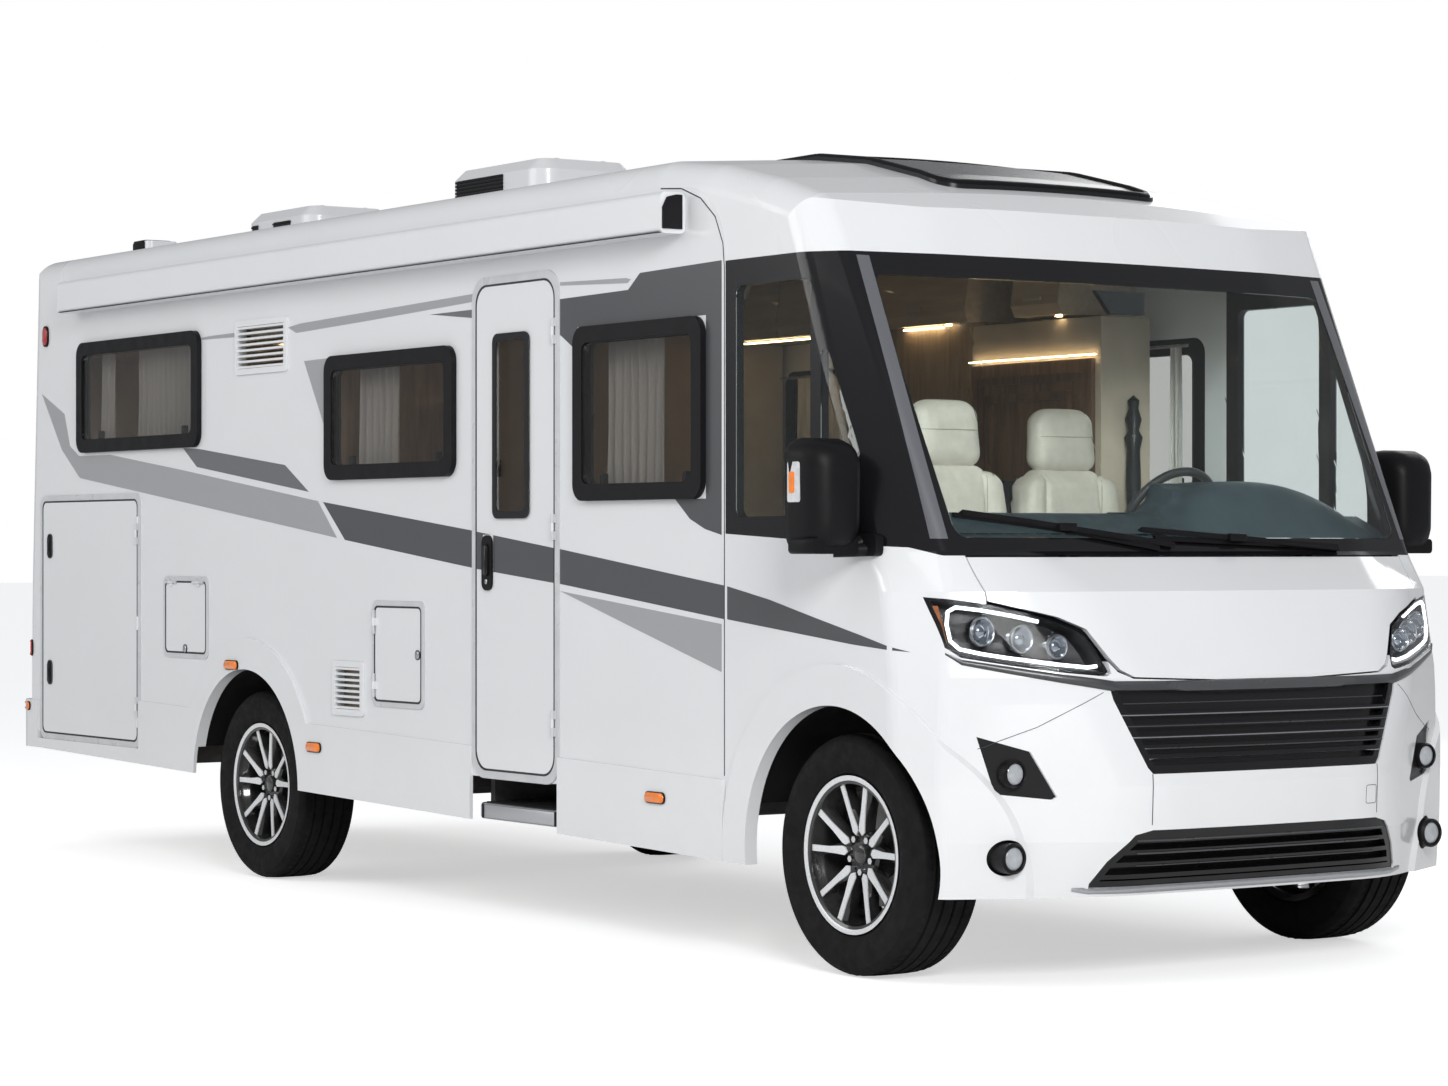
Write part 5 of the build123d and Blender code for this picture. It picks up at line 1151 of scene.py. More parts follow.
def curtain(name, x0, x1, z0, z1, side, phase, width):
    """One pleated curtain hung from a rail inside a window."""
    folds = max(2, round(width / FOLD_WIDTH))
    bm = bmesh.new()
    columns, rows = folds * 10, CURTAIN_ROWS
    grid = []
    for r in range(rows + 1):
        down = r / rows
        row = []
        for c in range(columns + 1):
            share = c / columns
            wave = math.sin(share * folds * 2 * math.pi + phase + 0.35 * math.sin(3.0 * down + share * 5))
            swell = 0.016 * (0.65 + 0.45 * down) * (1 + 0.3 * math.sin(share * 11 + phase))
            x = x0 + (x1 - x0) * (share + 0.012 * math.sin(down * 4 + share * 9) * down)
            row.append(bm.verts.new((x, side * (CURTAIN_Y + swell * wave * 0.8), z1 - (z1 - z0) * down)))
        grid.append(row)
    quilt(bm, grid)
    obj = piece(name, bm, "curtain", smooth=180)


def quilt(bm, grid):
    """Faces between the rows of a grid of vertices."""
    for a, b in zip(grid, grid[1:]):
        for i in range(len(a) - 1):
            bm.faces.new((a[i], a[i + 1], b[i + 1], b[i]))


# Side windows' openings, and the shares of each that its two curtains cover.
WINDOWS = [((-5.63, -4.53, 1.80, 2.215), ((0.03, 0.14), (0.38, 0.97))),
           ((-3.29, -2.41, 1.64, 2.05), ((0.10, 0.44), (0.89, 0.98))),
           ((-1.45, -0.775, 1.54, 2.07), ((0.06, 0.58), (0.90, 0.98)))]


def window_fit(side, tag):
    """Rails, pleated curtains, inner frames and catches of the side windows."""
    bm = bmesh.new()
    for (x0, x1, z0, z1), _ in WINDOWS:
        tube(bm, [(ax(x), side * CURTAIN_Y, z1 + 0.010) for x in (x0 - 0.02, x1 + 0.02)], 0.006, 10)
    piece("curtain_rail_" + tag, bm, "satin_silver", smooth=50)
    for number, ((x0, x1, z0, z1), shares) in enumerate(WINDOWS):
        width = x1 - x0
        for part, (a, b) in enumerate(shares):
            curtain("curtain_%d_%d_%s" % (number, part, tag), ax(x0 + a * width), ax(x0 + b * width), z0 - 0.03,
                    z1 + 0.006, side, number + part * 2.1, (b - a) * width)
    bm = bmesh.new()
    for (x0, x1, z0, z1), _ in WINDOWS:
        outer = rounded_points(ax(x0) - 0.005, ax(x1) + 0.005, z0 - 0.005, z1 + 0.005, 0.05)
        inner = rounded_points(ax(x0) + 0.020, ax(x1) - 0.020, z0 + 0.020, z1 - 0.020, 0.035)
        add_ring(bm, outer, inner, lambda p, end: (p[0], side * (1.098 - 0.012 * end), p[1]))
        for share in (0.12, 0.88):
            x = ax(x0 + (x1 - x0) * share)
            add_box(bm, x - 0.012, x + 0.012, side * 1.070, side * 1.094, z0 + 0.018, z0 + 0.060, 0.004)
        tube(bm, [(ax(x0) + 0.012, side * 1.090, z0 + 0.03), (ax(x0) + 0.016, side * 1.086, (z0 + z1) / 2)],
             0.0045, 8)
    piece("window_inner_frames_" + tag, bm, "dash_dark", smooth=40)


for side, tag in SIDES:
    window_fit(side, tag)

# ------------------------------------------------------------------ cab seats
VOXEL = 0.009
SWELL_CAP = 0.012
CLOTH_FRAMES = 12


def bake(obj):
    """Keep what the modifiers make as the object's own mesh."""
    depsgraph = bpy.context.evaluated_depsgraph_get()
    mesh = bpy.data.meshes.new_from_object(obj.evaluated_get(depsgraph))
    obj.modifiers.clear()
    obj.data = mesh
    for poly in obj.data.polygons:
        poly.use_smooth = True


def swell(obj):
    """Blow a pad up a little as cloth, no point further than the cap."""
    rest = [v.co.copy() for v in obj.data.vertices]
    soft = obj.modifiers.new("soft", "CLOTH")
    soft.settings.use_pressure = True
    soft.settings.uniform_pressure_force = 4.0
    soft.settings.effector_weights.gravity = 0.0
    soft.settings.tension_stiffness = 30
    soft.settings.bending_stiffness = 2.0
    for number in range(1, CLOTH_FRAMES + 1):
        bpy.context.scene.frame_set(number)
    bake(obj)
    bpy.context.scene.frame_set(1)
    for vert, old in zip(obj.data.vertices, rest):
        move = vert.co - old
        if move.length > SWELL_CAP:
            vert.co = old + move.normalized() * SWELL_CAP


def pad(name, box, bevel, lean=0.0, shoulder=0.0, splay=0.0):
    """A padded form: a rounded block, shaped, remeshed and swollen."""
    bm = bmesh.new()
    add_box(bm, *box, bevel, segments=5)
    y0, y1, z0, z1 = box[2:]
    middle = (y0 + y1) / 2
    for vert in bm.verts:
        share = (vert.co.z - z0) / (z1 - z0)
        narrow = shoulder * 6.0 * max(0.0, share - 0.55) ** 2 / max(0.05, (y1 - y0))
        vert.co.y = middle + (vert.co.y - middle) * (1.0 - narrow)
        vert.co.y += splay * max(0.0, share - 0.62) ** 1.5
        vert.co.x -= lean * (vert.co.z - z0)
    obj = piece(name, bm, "seat_cream", smooth=60, replaces="cab_seats")
    remesh = obj.modifiers.new("even", "REMESH")
    remesh.mode = "VOXEL"
    remesh.voxel_size = VOXEL
    remesh.use_smooth_shade = True
    bake(obj)
    swell(obj)
    return obj


# Pads from the seat's place: name, x, y and z spans, bevel, lean, shoulder and splay.
SEAT_PADS = [
    ("cushion", (0.02, 0.42, -0.19, 0.19, 0.93, 1.065), 0.05, 0.0, 0.0, 0.0),
    ("bolster_a", (0.02, 0.42, -0.255, -0.175, 0.93, 1.085), 0.036, 0.0, 0.0, 0.0),
    ("bolster_b", (0.02, 0.42, 0.175, 0.255, 0.93, 1.085), 0.036, 0.0, 0.0, 0.0),
    ("back", (0.005, 0.115, -0.175, 0.175, 1.02, 1.625), 0.045, 0.11, 0.035, 0.0),
    ("wing_a", (0.005, 0.140, -0.255, -0.165, 1.04, 1.600), 0.042, 0.11, 0.0, 0.30),
    ("wing_b", (0.005, 0.140, 0.165, 0.255, 1.04, 1.600), 0.042, 0.11, 0.0, -0.30),
    ("headrest", (-0.055, 0.050, -0.140, 0.140, 1.612, 1.835), 0.048, 0.05, 0.055, 0.0),
    ("arm_0", (0.03, 0.38, -0.320, -0.260, 1.215, 1.275), 0.026, 0.0, 0.0, 0.0),
    ("arm_1", (0.03, 0.38, 0.260, 0.320, 1.215, 1.275), 0.026, 0.0, 0.0, 0.0),
]
SEAT_SKIRT = [(-0.01, 1.00), (0.10, 0.935), (0.40, 0.925), (0.42, 0.96), (0.12, 0.99), (0.02, 1.05)]
SEAT_SHELL = [(-0.012, 1.04), (0.002, 1.04), (-0.060, 1.58), (-0.075, 1.58)]


def steps_between(low, high, count=24):
    return [low + (high - low) * k / count for k in range(count + 1)]


def cab_seat(tag, back, y):
    """A captain's seat: pads, a frame, and stitched lines laid on the pads' surface."""
    x = ax(back)
    made = []
    for part, (x0, x1, y0, y1, z0, z1), *shape in SEAT_PADS:
        made.append(pad("seat_%s_%s" % (part, tag), (x + x0, x + x1, y + y0, y + y1, z0, z1), *shape))
    bm = bmesh.new()
    for post in (-0.06, 0.06):
        tube(bm, [(x - 0.028, y + post, 1.560), (x - 0.030, y + post, 1.66)], 0.006, 10)
    for arm in (-0.290, 0.290):
        add_box(bm, x + 0.02, x + 0.07, y + arm - 0.018, y + arm + 0.018, 1.15, 1.235, 0.008)
        add_box(bm, x + 0.01, x + 0.06, y + arm * 0.86 - 0.016, y + arm * 1.02 + 0.016, 1.140, 1.165, 0.004)
    for edge in (-0.262, 0.262):
        add_prism(bm, SEAT_SKIRT, lambda p, end: (x + p[0], y + edge + (0.006 if end else -0.006), p[1]))
    add_prism(bm, SEAT_SHELL, lambda p, end: (x + p[0], y + (0.21 if end else -0.21), p[1]))
    piece("seat_frame_" + tag, bm, "dash_dark", smooth=40)
    tree = BVHTree.FromPolygons(*mesh_of(made))
    lines = [[(across, z) for across in steps_between(-reach, reach)]
             for reach, z in ((0.16, 1.24), (0.16, 1.42), (0.12, 1.735))]
    lines += [[(side * 0.128, z) for z in steps_between(1.10, 1.60)] for side in (-1, 1)]
    bm = bmesh.new()
    for line in lines:
        path = []
        for across, z in line:
            hit = tree.ray_cast(Vector((x + 0.8, y + across, z)), Vector((-1, 0, 0)), 1.2)[0]
            if hit is not None:
                path.append((hit.x + 0.0006, y + across, z))
        if len(path) > 3:
            tube(bm, path, 0.0018, 6)
    piece("seat_seams_" + tag, bm, "seat_thread", smooth=60)


cab_seat("passenger", -0.355, -0.400)
cab_seat("driver", -0.760, 0.440)

# ------------------------------------------------------------------ mirrors
MIRROR_Y, MIRROR_Z = 1.235, 1.505
# Sections of the housing from its glass side: x, width, height, corner radius and shift outward.
HOUSING = [
    (2.832, 0.178, 0.330, 0.045, 0.0), (2.816, 0.190, 0.345, 0.05, 0.0), (2.822, 0.200, 0.352, 0.055, 0.0),
    (2.850, 0.205, 0.356, 0.06, 0.0), (2.905, 0.200, 0.350, 0.062, 0.0), (2.945, 0.178, 0.325, 0.06, -0.004),
    (2.972, 0.140, 0.285, 0.055, -0.008), (2.984, 0.090, 0.225, 0.042, -0.010),
]
LID = [(2.838, 0.0), (2.850, 0.003), (2.930, 0.003), (2.952, -0.012)]
ARM_BARS = [([(2.900, 1.16, 1.345), (2.915, 1.13, 1.352), (2.925, 1.108, 1.362)], 0.026, 16),
            ([(2.890, 1.20, 1.335), (2.930, 1.14, 1.337), (2.965, 1.098, 1.340)], 0.021, 14)]
GLASSES = [(-0.080, 0.080, -0.055, 0.150, 0.03), (-0.078, 0.078, -0.148, -0.068, 0.025)]
SIGNALS = [(2.838, 2.902, 1.484, 1.608, 1.3365), (2.848, 2.876, 1.512, 1.578, 1.3378)]


def mirror_unit(side, tag):
    """A tall rounded housing with two glasses, a signal lens and a bowed arm."""
    bm = bmesh.new()
    loops = []
    for x, width, height, radius, shift in HOUSING:
        points = rounded_points(-width / 2, width / 2, -height / 2, height / 2, radius, 8)
        loops.append([(x, side * (MIRROR_Y + shift + across * (1.0 - 0.12 * max(0.0, -up / height))),
                       MIRROR_Z + up) for across, up in points])
    loft(bm, loops)
    # The lower lid of the housing, a little proud.
    loft(bm, [[(x, side * (MIRROR_Y - 0.098 - grow + p[0]), 1.345 + p[1])
               for p in rounded_points(0.0, 0.196 + 2 * grow, -0.020, 0.030, 0.014, 5)] for x, grow in LID])
    for places, radius, segments in ARM_BARS:
        tube(bm, [(x, side * y, z) for x, y, z in places], radius, segments)
    foot = rounded_points(2.86, 3.01, 1.318, 1.388, 0.02)
    add_prism(bm, foot, lambda p, end: (p[0], side * (1.096 + 0.030 * end), p[1]))
    piece("mirror_housing_" + tag, bm, "black_plastic", smooth=38, replaces="mirrors")
    bm = bmesh.new()
    for glass in GLASSES:
        add_prism(bm, rounded_points(*glass), lambda p, end: (
            2.829 + 0.004 * end, side * (MIRROR_Y + p[0]), MIRROR_Z + p[1]))
    piece("mirror_glass_" + tag, bm, "mirror_glass")
    bm = bmesh.new()
    for index, (*span, y_out) in enumerate(SIGNALS):
        add_prism(bm, rounded_points(*span, 0.008), lambda p, end: (
            p[0], side * (y_out if end else 1.330), p[1]), index)
    piece("mirror_signal_" + tag, bm, ["clear_lens", "amber_lens"], smooth=40)


for side, tag in SIDES:
    mirror_unit(side, tag)

# ------------------------------------------------------------------ roof fittings
UNIT_CORNER = 0.092
FIN = 0.0035


def band_round(bm, path, z0, z1, depth, index=0):
    """A low wall of the given depth standing outside a plan path."""
    rows = []
    for i, (x, y) in enumerate(path):
        normals = []
        for a, b in ((i - 1, i), (i, i + 1)):
            if 0 <= a and b < len(path):
                way = Vector((path[b][0] - path[a][0], path[b][1] - path[a][1])).normalized()
                normals.append(Vector((way.y, -way.x)))
        normal = sum(normals, Vector((0, 0))).normalized()
        normal = normal / max(0.5, normal.dot(normals[0]))
        near, far = ((x + normal.x * out, y + normal.y * out) for out in (0.0006, depth))
        rows.append([(*near, z0), (*far, z0), (*far, z1), (*near, z1)])
    loft(bm, rows, index)


def louvred_unit(name, spans):
    """Dark intake grilles with fins; each span has its plan path, foot, top and number of fins."""
    bm = bmesh.new()
    for path, z0, z1, fins in spans:
        band_round(bm, path, z0, z1, 0.006)
        for k in range(fins):
            z = z0 + (z1 - z0) * (k + 0.5) / fins
            band_round(bm, path, z - FIN, z + FIN, 0.0115, 1)
    piece(name, bm, ["black_gloss", "black_plastic"], smooth=30)


def wrapped(tail, end, half):
    """A plan path round a roof unit's tail and along its sides up to an end."""
    corner = UNIT_CORNER
    return [(end, half), (tail + corner, half), (tail, half - corner), (tail, corner - half),
            (tail + corner, -half), (end, -half)]


louvred_unit("air_unit_louvres", [(wrapped(-1.17, -0.7112, 0.24), 2.735, 2.866, 9)])
louvred_unit("rear_unit_louvres", [(wrapped(-3.08, -2.9392, 0.22), 2.735, 2.825, 5),
                                   ([(-2.78, -0.22), (-2.62, -0.22)], 2.790, 2.825, 2),
                                   ([(-2.62, 0.22), (-2.78, 0.22)], 2.790, 2.825, 2)])
roof_top = surface_of("roof_units", "roof_light", "roof_cap", "roof_panel", "cab_window_frame")
ROOF_Z = 2.6


def roof_line(name, path, half, up, mat, closed=False):
    """A raised bead on the roof along a path of (x, y)."""
    shape = ((1.0, 0.0), (0.9, 0.6), (0.5, 1.0), (-0.5, 1.0), (-0.9, 0.6), (-1.0, 0.0))
    ribbon(name, dense(path, 0.04, closed), [(share * half, rise * up) for share, rise in shape],
           lambda x, y, lift: (x, y, top_z(roof_top, x, y, ROOF_Z) + 0.0003 + lift), mat, closed, 50)


roof_line("skylight_rim", [(1.20, -0.40), (1.20, 0.40), (1.24, 0.43), (2.44, 0.455), (2.49, 0.42), (2.50, 0.0),
                           (2.49, -0.42), (2.44, -0.455), (1.24, -0.43)], 0.014, 0.010, "black_plastic", True)
roof_line("skylight_bar", [(1.86, -0.42), (1.86, 0.42)], 0.010, 0.006, "black_plastic")
for number, y in enumerate((-0.11, 0.11)):
    roof_line("air_unit_lines_%d" % number, [(-1.10, y), (-0.50, y)], 0.010, 0.006, "roof_white")
    roof_line("rear_unit_lines_%d" % number, [(-3.00, y), (-2.52, y)], 0.010, 0.006, "roof_white")


def roof_vent_cover():
    """A dark moulded cover over the small roof vent at the tail, which is found by its height."""
    places = [(x, y, top_z(roof_top, x, y, ROOF_Z)) for x in steps_between(-3.13, -2.92, 22)
              for y in steps_between(-0.835, -0.61)]
    top = max(z for _, _, z in places)
    spans = []
    for axis in (0, 1):
        high_ones = [place[axis] for place in places if place[2] > top - 0.012]
        spans.append((min(high_ones) - 0.014, max(high_ones) + 0.014))
    (x0, x1), (y0, y1) = spans
    bm = bmesh.new()
    loft(bm, [[((x0 + x1) / 2 + px * (x1 - x0) * share, (y0 + y1) / 2 + py * (y1 - y0) * share, top + up)
               for px, py in rounded_points(-0.5, 0.5, -0.5, 0.5, 0.2)]
              for share, up in ((1.0, -0.075), (1.0, -0.012), (0.94, 0.002), (0.75, 0.006))])
    piece("roof_vent_cover", bm, "black_plastic", smooth=45)


roof_vent_cover()

# ------------------------------------------------------------------ awning, step, door
AWNING_END = [(-1.203, 2.400), (-1.203, 2.470), (-1.185, 2.505), (-1.150, 2.514), (-1.125, 2.514), (-1.125, 2.400)]
bm = bmesh.new()
for x, way in ((1.933, 1), (-2.946, -1)):
    add_prism(bm, AWNING_END, lambda p, end: (x + way * (0.0003 + 0.006 * end), *p))
piece("awning_end_caps", bm, "black_plastic", smooth=35)
bm = bmesh.new()
add_box(bm, -2.93, 1.92, -1.2110, -1.1980, 2.3865, 2.3893)
piece("awning_lines", bm, "seam")
bm = bmesh.new()
for k in range(9):
    y = -1.098 + 0.038 * k
    add_box(bm, 0.615, 1.101, y, y + 0.022, 0.4223, 0.4262, 0.0012)
add_box(bm, 0.600, 1.116, -1.1085, -1.1062, 0.368, 0.416, 0.001, index=1)
for x in (0.600, 1.100):
    add_box(bm, x, x + 0.016, -1.1092, -1.1080, 0.366, 0.418, 0.0005)
piece("step_tread", bm, ["black_plastic", "aluminium_step"], "entry_step", 40)
bm = bmesh.new()
outer = rounded_points(ax(-2.073), ax(-1.822), 1.449, 2.114, 0.032)
inner = rounded_points(ax(-2.047), ax(-1.848), 1.475, 2.088, 0.022)
add_ring(bm, outer, inner, lambda p, end: (p[0], -1.1192 - 0.0045 * end, p[1]))
add_box(bm, ax(-2.030), ax(-2.018), -1.128, -1.1192, 1.60, 1.66, 0.002)
piece("door_window_rim", bm, "black_gloss", "entrance_door", 40)
bm = bmesh.new()
for x0, x1, z0, z1 in ((-2.150, -1.700, 0.62, 1.13), (-1.790, -1.700, 1.20, 2.22)):
    outer = rounded_points(ax(x0), ax(x1), z0, z1, 0.03)
    inner = rounded_points(ax(x0) + 0.012, ax(x1) - 0.012, z0 + 0.012, z1 - 0.012, 0.02)
    add_ring(bm, outer, inner, lambda p, end: (p[0], -1.0755 + 0.004 * end, p[1]))
piece("door_inner_panels", bm, "wall_beige", "entrance_door", 40)

# ------------------------------------------------------------------ steering wheel and dashboard
WHEEL_HUB = Vector((ax(-0.170), 0.420, 1.440))
TILT = math.radians(30)
WHEEL_OUT = Vector((-math.cos(TILT), 0, math.sin(TILT)))
WHEEL_UP = Vector((math.sin(TILT), 0, math.cos(TILT)))
RIM_RADIUS = 0.186
# A spoke's sections from the hub: radius, half width, half thickness and height over the hub.
WHEEL_SPOKE = [(0.045, 0.034, 0.010, 0.006), (0.09, 0.024, 0.008, 0.004), (0.14, 0.018, 0.007, 0.0),
               (0.178, 0.020, 0.006, 0.0)]
STALK = [(0.03, 0.02, -0.055), (0.12, 0.035, -0.050), (0.165, 0.045, -0.045)]


def on_wheel(sideways, up, out):
    return WHEEL_HUB + Vector((0, 1, 0)) * sideways + WHEEL_UP * up + WHEEL_OUT * out


def round_wheel(turn, radial, sideways, out):
    """A place on the steering wheel from its distance along and across a radius."""
    c, s = math.cos(turn), math.sin(turn)
    return on_wheel(radial * c - sideways * s, radial * s + sideways * c, out)


def steering():
    """The wheel's rim, spokes, hub and buttons, and the stalks of its column."""
    bm = bmesh.new()
    turns = (2 * math.pi * k / 96 for k in range(96))
    tube(bm, [round_wheel(turn, RIM_RADIUS, 0.0, 0.0) for turn in turns], 0.0155, 16, closed=True)
    for turn in (0.0, math.pi, -math.pi / 2):
        rows = []
        for radius, half, thick, out in WHEEL_SPOKE:
            section = ((half, -thick), (half, thick * 0.6), (half * 0.6, thick), (-half * 0.6, thick),
                       (-half, thick * 0.6), (-half, -thick))
            rows.append([round_wheel(turn, radius, w, out + up) for w, up in section])
        loft(bm, rows)
    hub = rounded_points(-0.068, 0.068, -0.062, 0.050, 0.030)
    loft(bm, [[on_wheel(a * share, b * share, out) for a, b in hub]
              for share, out in ((1.0, -0.020), (1.0, 0.014), (0.93, 0.024), (0.7, 0.031), (0.3, 0.034))])
    piece("steering_wheel_rim", bm, "wheel_leather", "steering_wheel", 40, "steering_wheel")
    bm = bmesh.new()
    button = rounded_points(-0.018, 0.018, -0.014, 0.014, 0.006, 4)
    for turn in (0.0, math.pi):
        add_prism(bm, button, lambda p, end: round_wheel(turn, 0.100 + p[0], p[1], 0.008 + 0.006 * end))
    piece("steering_buttons", bm, "satin_silver", "steering_wheel", 40)
    bm = bmesh.new()
    for hand in (-1, 1):
        tube(bm, [on_wheel(hand * a, up, out) for a, up, out in STALK], 0.007, 10)
    piece("column_stalks", bm, "dash_dark", smooth=40)


steering()
dash_top = surface_of("dashboard")
HOOD_BACK, HOOD_FRONT, HOOD_Y, HOOD_TOP = 2.682, 3.025, 0.50, 1.562
HOOD_FOOT = 1.36


def dash_height(x, y):
    return top_z(dash_top, x, y, 1.44, 1.9)


def hood_height(x, y):
    """The binnacle's hood: an arch over the dials that runs out ahead and to both sides."""
    level = dash_height(x, 1.0 if y > 0.42 else 0.05)
    reach = (y - HOOD_Y) / (0.50 if y > HOOD_Y else 0.32)
    rise = max(0.0, 1.0 - abs(reach) ** (2.2 if y > HOOD_Y else 3.0))
    along = min(1.0, max(0.0, (HOOD_FRONT - x) / 0.16))
    crown = level + max(0.0, HOOD_TOP - level) * rise * math.sin(along * math.pi / 2)
    return max(crown, dash_height(x, y)) + 0.004


def dash_detail():
    bm = bmesh.new()
    for y in steps_between(-0.75, 0.75, 25):
        if not 0.20 < y < 0.64:
            z = dash_height(2.98, y)
            add_box(bm, 2.970, 2.990, y - 0.022, y + 0.022, z + 0.0003, z + 0.0030, 0.001)
    piece("demister_slots", bm, "dash_dark", smooth=40)
    bm = bmesh.new()
    for y in (-0.92, -0.16, 0.16, 0.92):
        for k in range(4):
            z = 1.315 + 0.018 * k
            add_box(bm, 2.6625, 2.6700, y - 0.055, y + 0.055, z, z + 0.006, 0.001)
        outer = rounded_points(y - 0.065, y + 0.065, 1.300, 1.390, 0.018)
        inner = rounded_points(y - 0.058, y + 0.058, 1.307, 1.383, 0.013)
        add_ring(bm, outer, inner, lambda p, end: (2.660 + 0.012 * end, *p), 1)
    piece("dash_vents", bm, ["dash_dark", "satin_silver"], smooth=40)
    bm = bmesh.new()
    across = steps_between(0.06, 1.0, 60)
    rows = [[(HOOD_BACK, y, HOOD_FOOT) for y in across]]
    rows += [[(x, y, hood_height(x, y)) for y in across] for x in steps_between(HOOD_BACK, HOOD_FRONT, 26)]
    quilt(bm, [[bm.verts.new(place) for place in row] for row in rows])
    piece("binnacle_hood", bm, "dash_grey", smooth=50)
    bm = bmesh.new()
    dial = [(0.0, 0.0), (0.046, 0.0), (0.050, -0.004), (0.054, -0.002), (0.054, 0.006), (0.0, 0.008)]
    for y in (0.37, 0.51):
        add_lathe(bm, dial, (2.681, y, 1.505), "X", 40)
    piece("dials", bm, "screen_black", smooth=40)


dash_detail()
SENSOR = [(-0.105, 2.185), (0.105, 2.185), (0.072, 2.105), (-0.072, 2.105)]
bm = bmesh.new()
screen = Front("windscreen")
add_prism(bm, SENSOR, lambda p, end: (screen.x(*p) - 0.0085 - 0.020 * end, *p))
piece("screen_sensor", bm, "screen_black", smooth=40)


# ------------------------------------------------------------------ bumper joints and wipers
def front_line(name, path, half, up, closed=False):
    """A dark joint line on the front along a path of (y, z)."""
    ribbon(name, dense(path, 0.02, closed), ((half, 0.0), (half, up), (-half, up), (-half, 0.0)),
           lambda y, z, lift: (face.x(y, z) + 0.0002 + lift, y, z), "seam", closed)


for side, tag in SIDES:
    front_line("bumper_joint_" + tag, [(side * 0.472, 0.655), (side * 0.472, 0.482)], 0.0014, 0.0004)
    front_line("bumper_corner_joint_" + tag, [(side * 0.62, 0.905), (side * 0.70, 0.86), (side * 0.80, 0.80),
                                              (side * 0.955, 0.735)], 0.0010, 0.0003)
front_line("tow_cover_joint", rounded_points(0.414, 0.466, 0.531, 0.589, 0.008, 3), 0.0009, 0.0004, True)

BLADES = ((-0.900, 1.452, -0.130, 1.352), (-0.250, 1.400, 0.585, 1.345))
BLADE_SECTION = ((-0.006, -0.002), (-0.006, 0.002), (0.004, 0.006), (0.012, 0.010), (0.017, 0.0), (0.012, -0.008),
                 (0.004, -0.006))
GLASS_FOOT = 1.362


def wiper_blades():
    """Rubber blades with a clip, laid over the CAD wipers on the screen."""
    glass_front = Front("windscreen")
    for number, (y0, z0, y1, z1) in enumerate(BLADES):
        rows = []
        for y, z in zip(steps_between(y0, y1), steps_between(z0, z1)):
            rows.append((glass_front.x(y, max(z, GLASS_FOOT)) + (0.010 if z >= GLASS_FOOT else 0.022), y, z))
        bm = bmesh.new()
        loft(bm, [[(x + out, y, z + up) for out, up in BLADE_SECTION] for x, y, z in rows])
        x, y, z = rows[11]
        add_box(bm, x + 0.008, x + 0.030, y - 0.035, y + 0.035, z - 0.010, z + 0.016, 0.005)
        piece("wiper_blade_%d" % number, bm, "black_plastic", smooth=40)


wiper_blades()

# ------------------------------------------------------------------ tail
LAMP_Y, LAMP_HALF, LAMP_FOOT, LAMP_TOP = 0.985, 0.050, 0.872, 1.268
# The lamp's fields: foot, top and material; the red ones carry ribs.
FIELDS = ((0.882, 0.995, 1), (1.001, 1.060, 2), (1.066, 1.125, 3), (1.131, 1.258, 1))


def tail_lamp(side, tag):
    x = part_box("tail_lamps")[0].x
    middle = side * LAMP_Y
    bm = bmesh.new()
    outer, inner = (rounded_points(-LAMP_HALF - d, LAMP_HALF + d, LAMP_FOOT - d, LAMP_TOP + d, radius)
                    for d, radius in ((0.006, 0.022), (-0.006, 0.014)))
    add_ring(bm, outer, inner, lambda p, end: (x - 0.0004 - 0.010 * end, middle + p[0], p[1]))
    for a, b, index in FIELDS:
        z = (a + b) / 2
        points = rounded_points(-LAMP_HALF + 0.008, LAMP_HALF - 0.008, a, b, 0.010)
        loft(bm, [[(x - 0.0004 - d, middle + q[0] * share, z + (q[1] - z) * share) for q in points]
                  for d, share in ((0.0, 1.0), (0.006, 1.0), (0.009, 0.94))], index)
        for k in range(5 if index == 1 else 0):
            z = a + (b - a) * (k + 0.5) / 5
            add_box(bm, x - 0.0112, x - 0.0092, middle - LAMP_HALF + 0.018, middle + LAMP_HALF - 0.018, z - 0.0035,
                    z + 0.0035, 0.001, index=1)
    piece("tail_lamp_face_" + tag, bm, ["black_gloss", "red_lens", "amber_lens", "clear_lens"],
          smooth=40)


for side, tag in SIDES:
    tail_lamp(side, tag)
rear_face = surface_of("rear_wall", "rear_bumper")


def rear_lens(name, outlines, proud):
    """Red lenses standing on the rear wall or bumper."""
    bm = bmesh.new()
    for points in outlines:
        def place(p, end):
            hit = rear_face.ray_cast(Vector((FROM_REAR, *p)), Vector((1, 0, 0)))[0]
            return ((-3.54 if hit is None else hit.x) - 0.0003 - proud * end, *p)
        add_prism(bm, points, place)
    piece(name, bm, "red_lens", smooth=40)


rear_lens("high_brake_lamp", [rounded_points(-0.16, 0.16, 2.405, 2.425, 0.008)], 0.010)
# The reflectors hold no lamp, so the red lens material's faint glow on them is painted light.
rear_lens("rear_reflectors", [rounded_points(side * 0.86 - 0.05, side * 0.86 + 0.05, 0.515, 0.555, 0.012)
                              for side, _ in SIDES], 0.006)

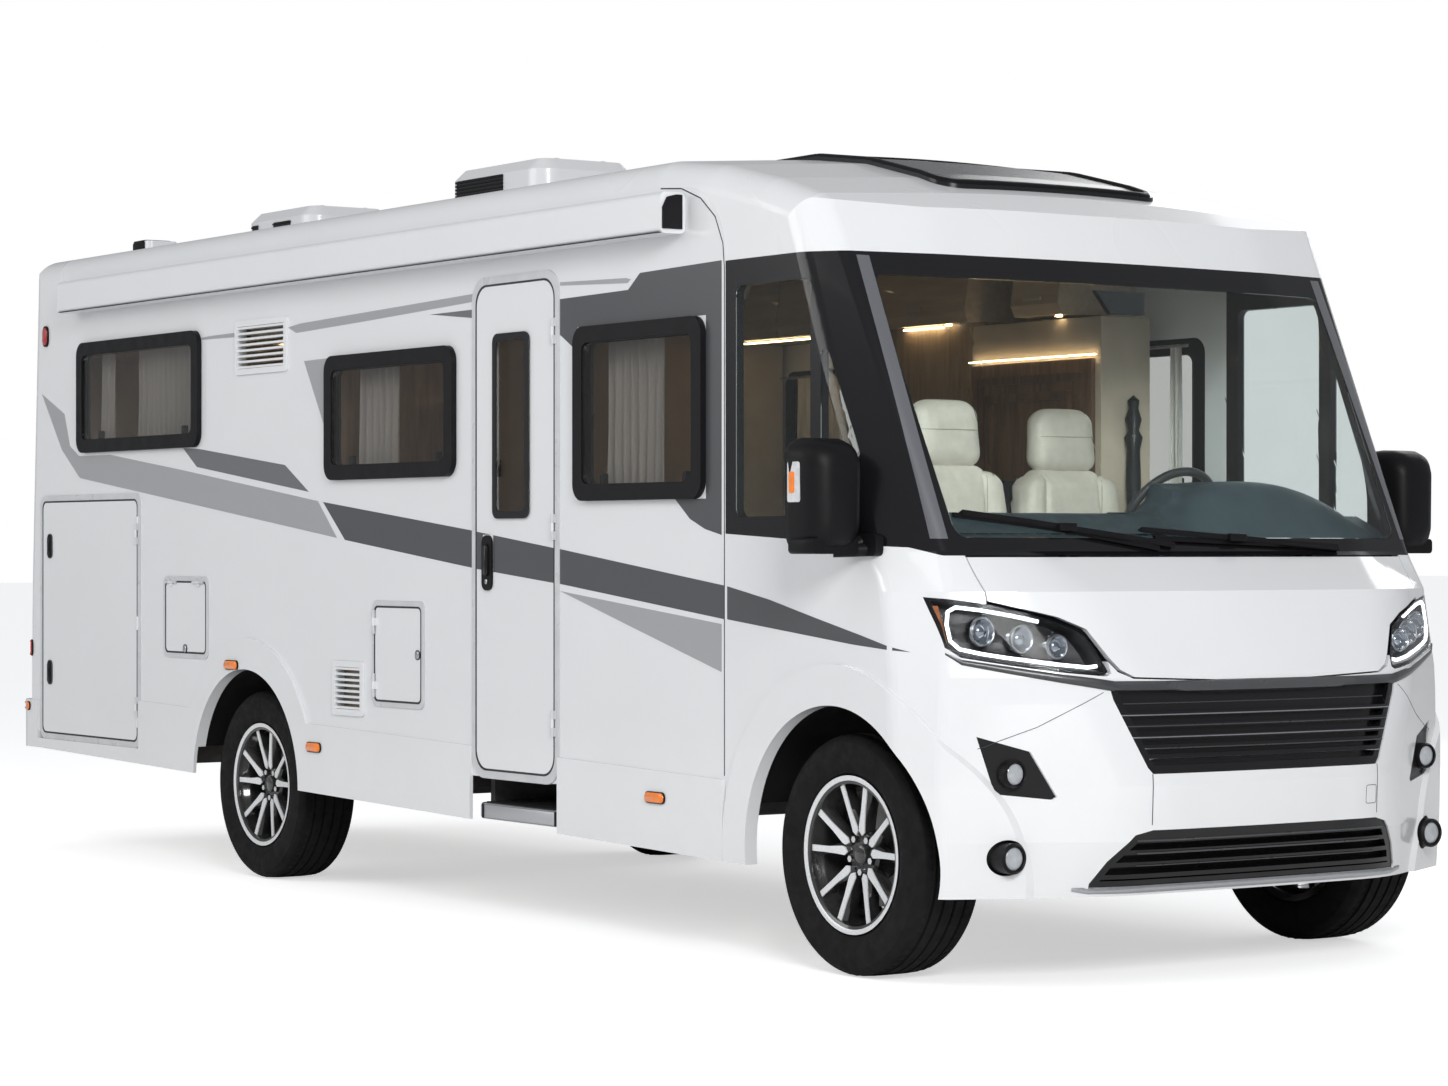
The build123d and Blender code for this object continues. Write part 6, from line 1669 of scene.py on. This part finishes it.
# ------------------------------------------------------------------ door seals
# Opening leaves: body side, rear edge, foot, length, height, corner radius and frame width, as in the CAD.
LEAVES = [
    ("entrance", -1, ax(-2.232), 0.511, 0.604, 1.812, 0.085, 0.033),
    ("garage_right", -1, ax(-6.115), 0.483, 1.057, 1.098, 0.045, 0.030),
    ("garage_left", 1, ax(-6.115), 0.483, 1.057, 1.098, 0.045, 0.030),
    ("hatch_rear", -1, ax(-4.825), 0.883, 0.426, 0.342, 0.032, 0.024),
    ("hatch_front", -1, ax(-2.988), 0.741, 0.402, 0.403, 0.032, 0.024),
]


def leaf_seal(name, side, x, foot, length, height, radius, frame_width):
    """The rubber seal that fills the gap round a leaf, standing a little over its frame."""
    inner = frame_width - 0.002

    def outline(extra):
        inset = inner - extra
        return rounded_points(x + inset, x + length - inset, foot + inset, foot + height - inset,
                              radius - inner / 2 + extra, 8)

    bm = bmesh.new()
    for outer, hollow, near, far in ((-0.0002, -0.0047, 1.1153, 1.1000), (0.0026, -0.0002, 1.1164, 1.1152)):
        add_ring(bm, outline(outer), outline(hollow), lambda p, end: (p[0], side * (far if end else near), p[1]))
    piece("leaf_seal_" + name, bm, "seam", smooth=40)


for leaf in LEAVES:
    leaf_seal(*leaf)

# ------------------------------------------------------------------ screen pillars, with bands of painted reflection
PILLAR_PATH = [(0.9708, 2.268), (0.9731, 2.135), (0.9756, 1.973), (0.978, 1.813), (0.9803, 1.655), (0.9814, 1.499),
               (0.9819, 1.372)]
PILLAR_HALF = 0.022
pillar_front = Front("cab_window_frame", "windscreen")


def pillar_reflection_band(side, tag):
    """A raised grey band that runs down the screen's side edge: a painted reflection on the black pillar."""
    bm = bmesh.new()
    loops = []
    for before, here, after in neighbours(dense(PILLAR_PATH, 0.05, closed=False)):
        along = Vector((after[0] - before[0], after[1] - before[1])).normalized() * PILLAR_HALF
        upper, lower = [], []
        for share in steps_between(-1, 1, 6):
            y, z = side * (here[0] - along.y * share), here[1] + along.x * share
            x = pillar_front.x(y, z)
            upper.append((x + 0.0012 + 0.0012 * (1 - share * share), y, z))
            lower.append((x - 0.002, y, z))
        loops.append(upper + lower[::-1])
    loft(bm, loops)
    piece("pillar_reflection_band_" + tag, bm, "pillar_satin", smooth=50)


for side, tag in SIDES:
    pillar_reflection_band(side, tag)
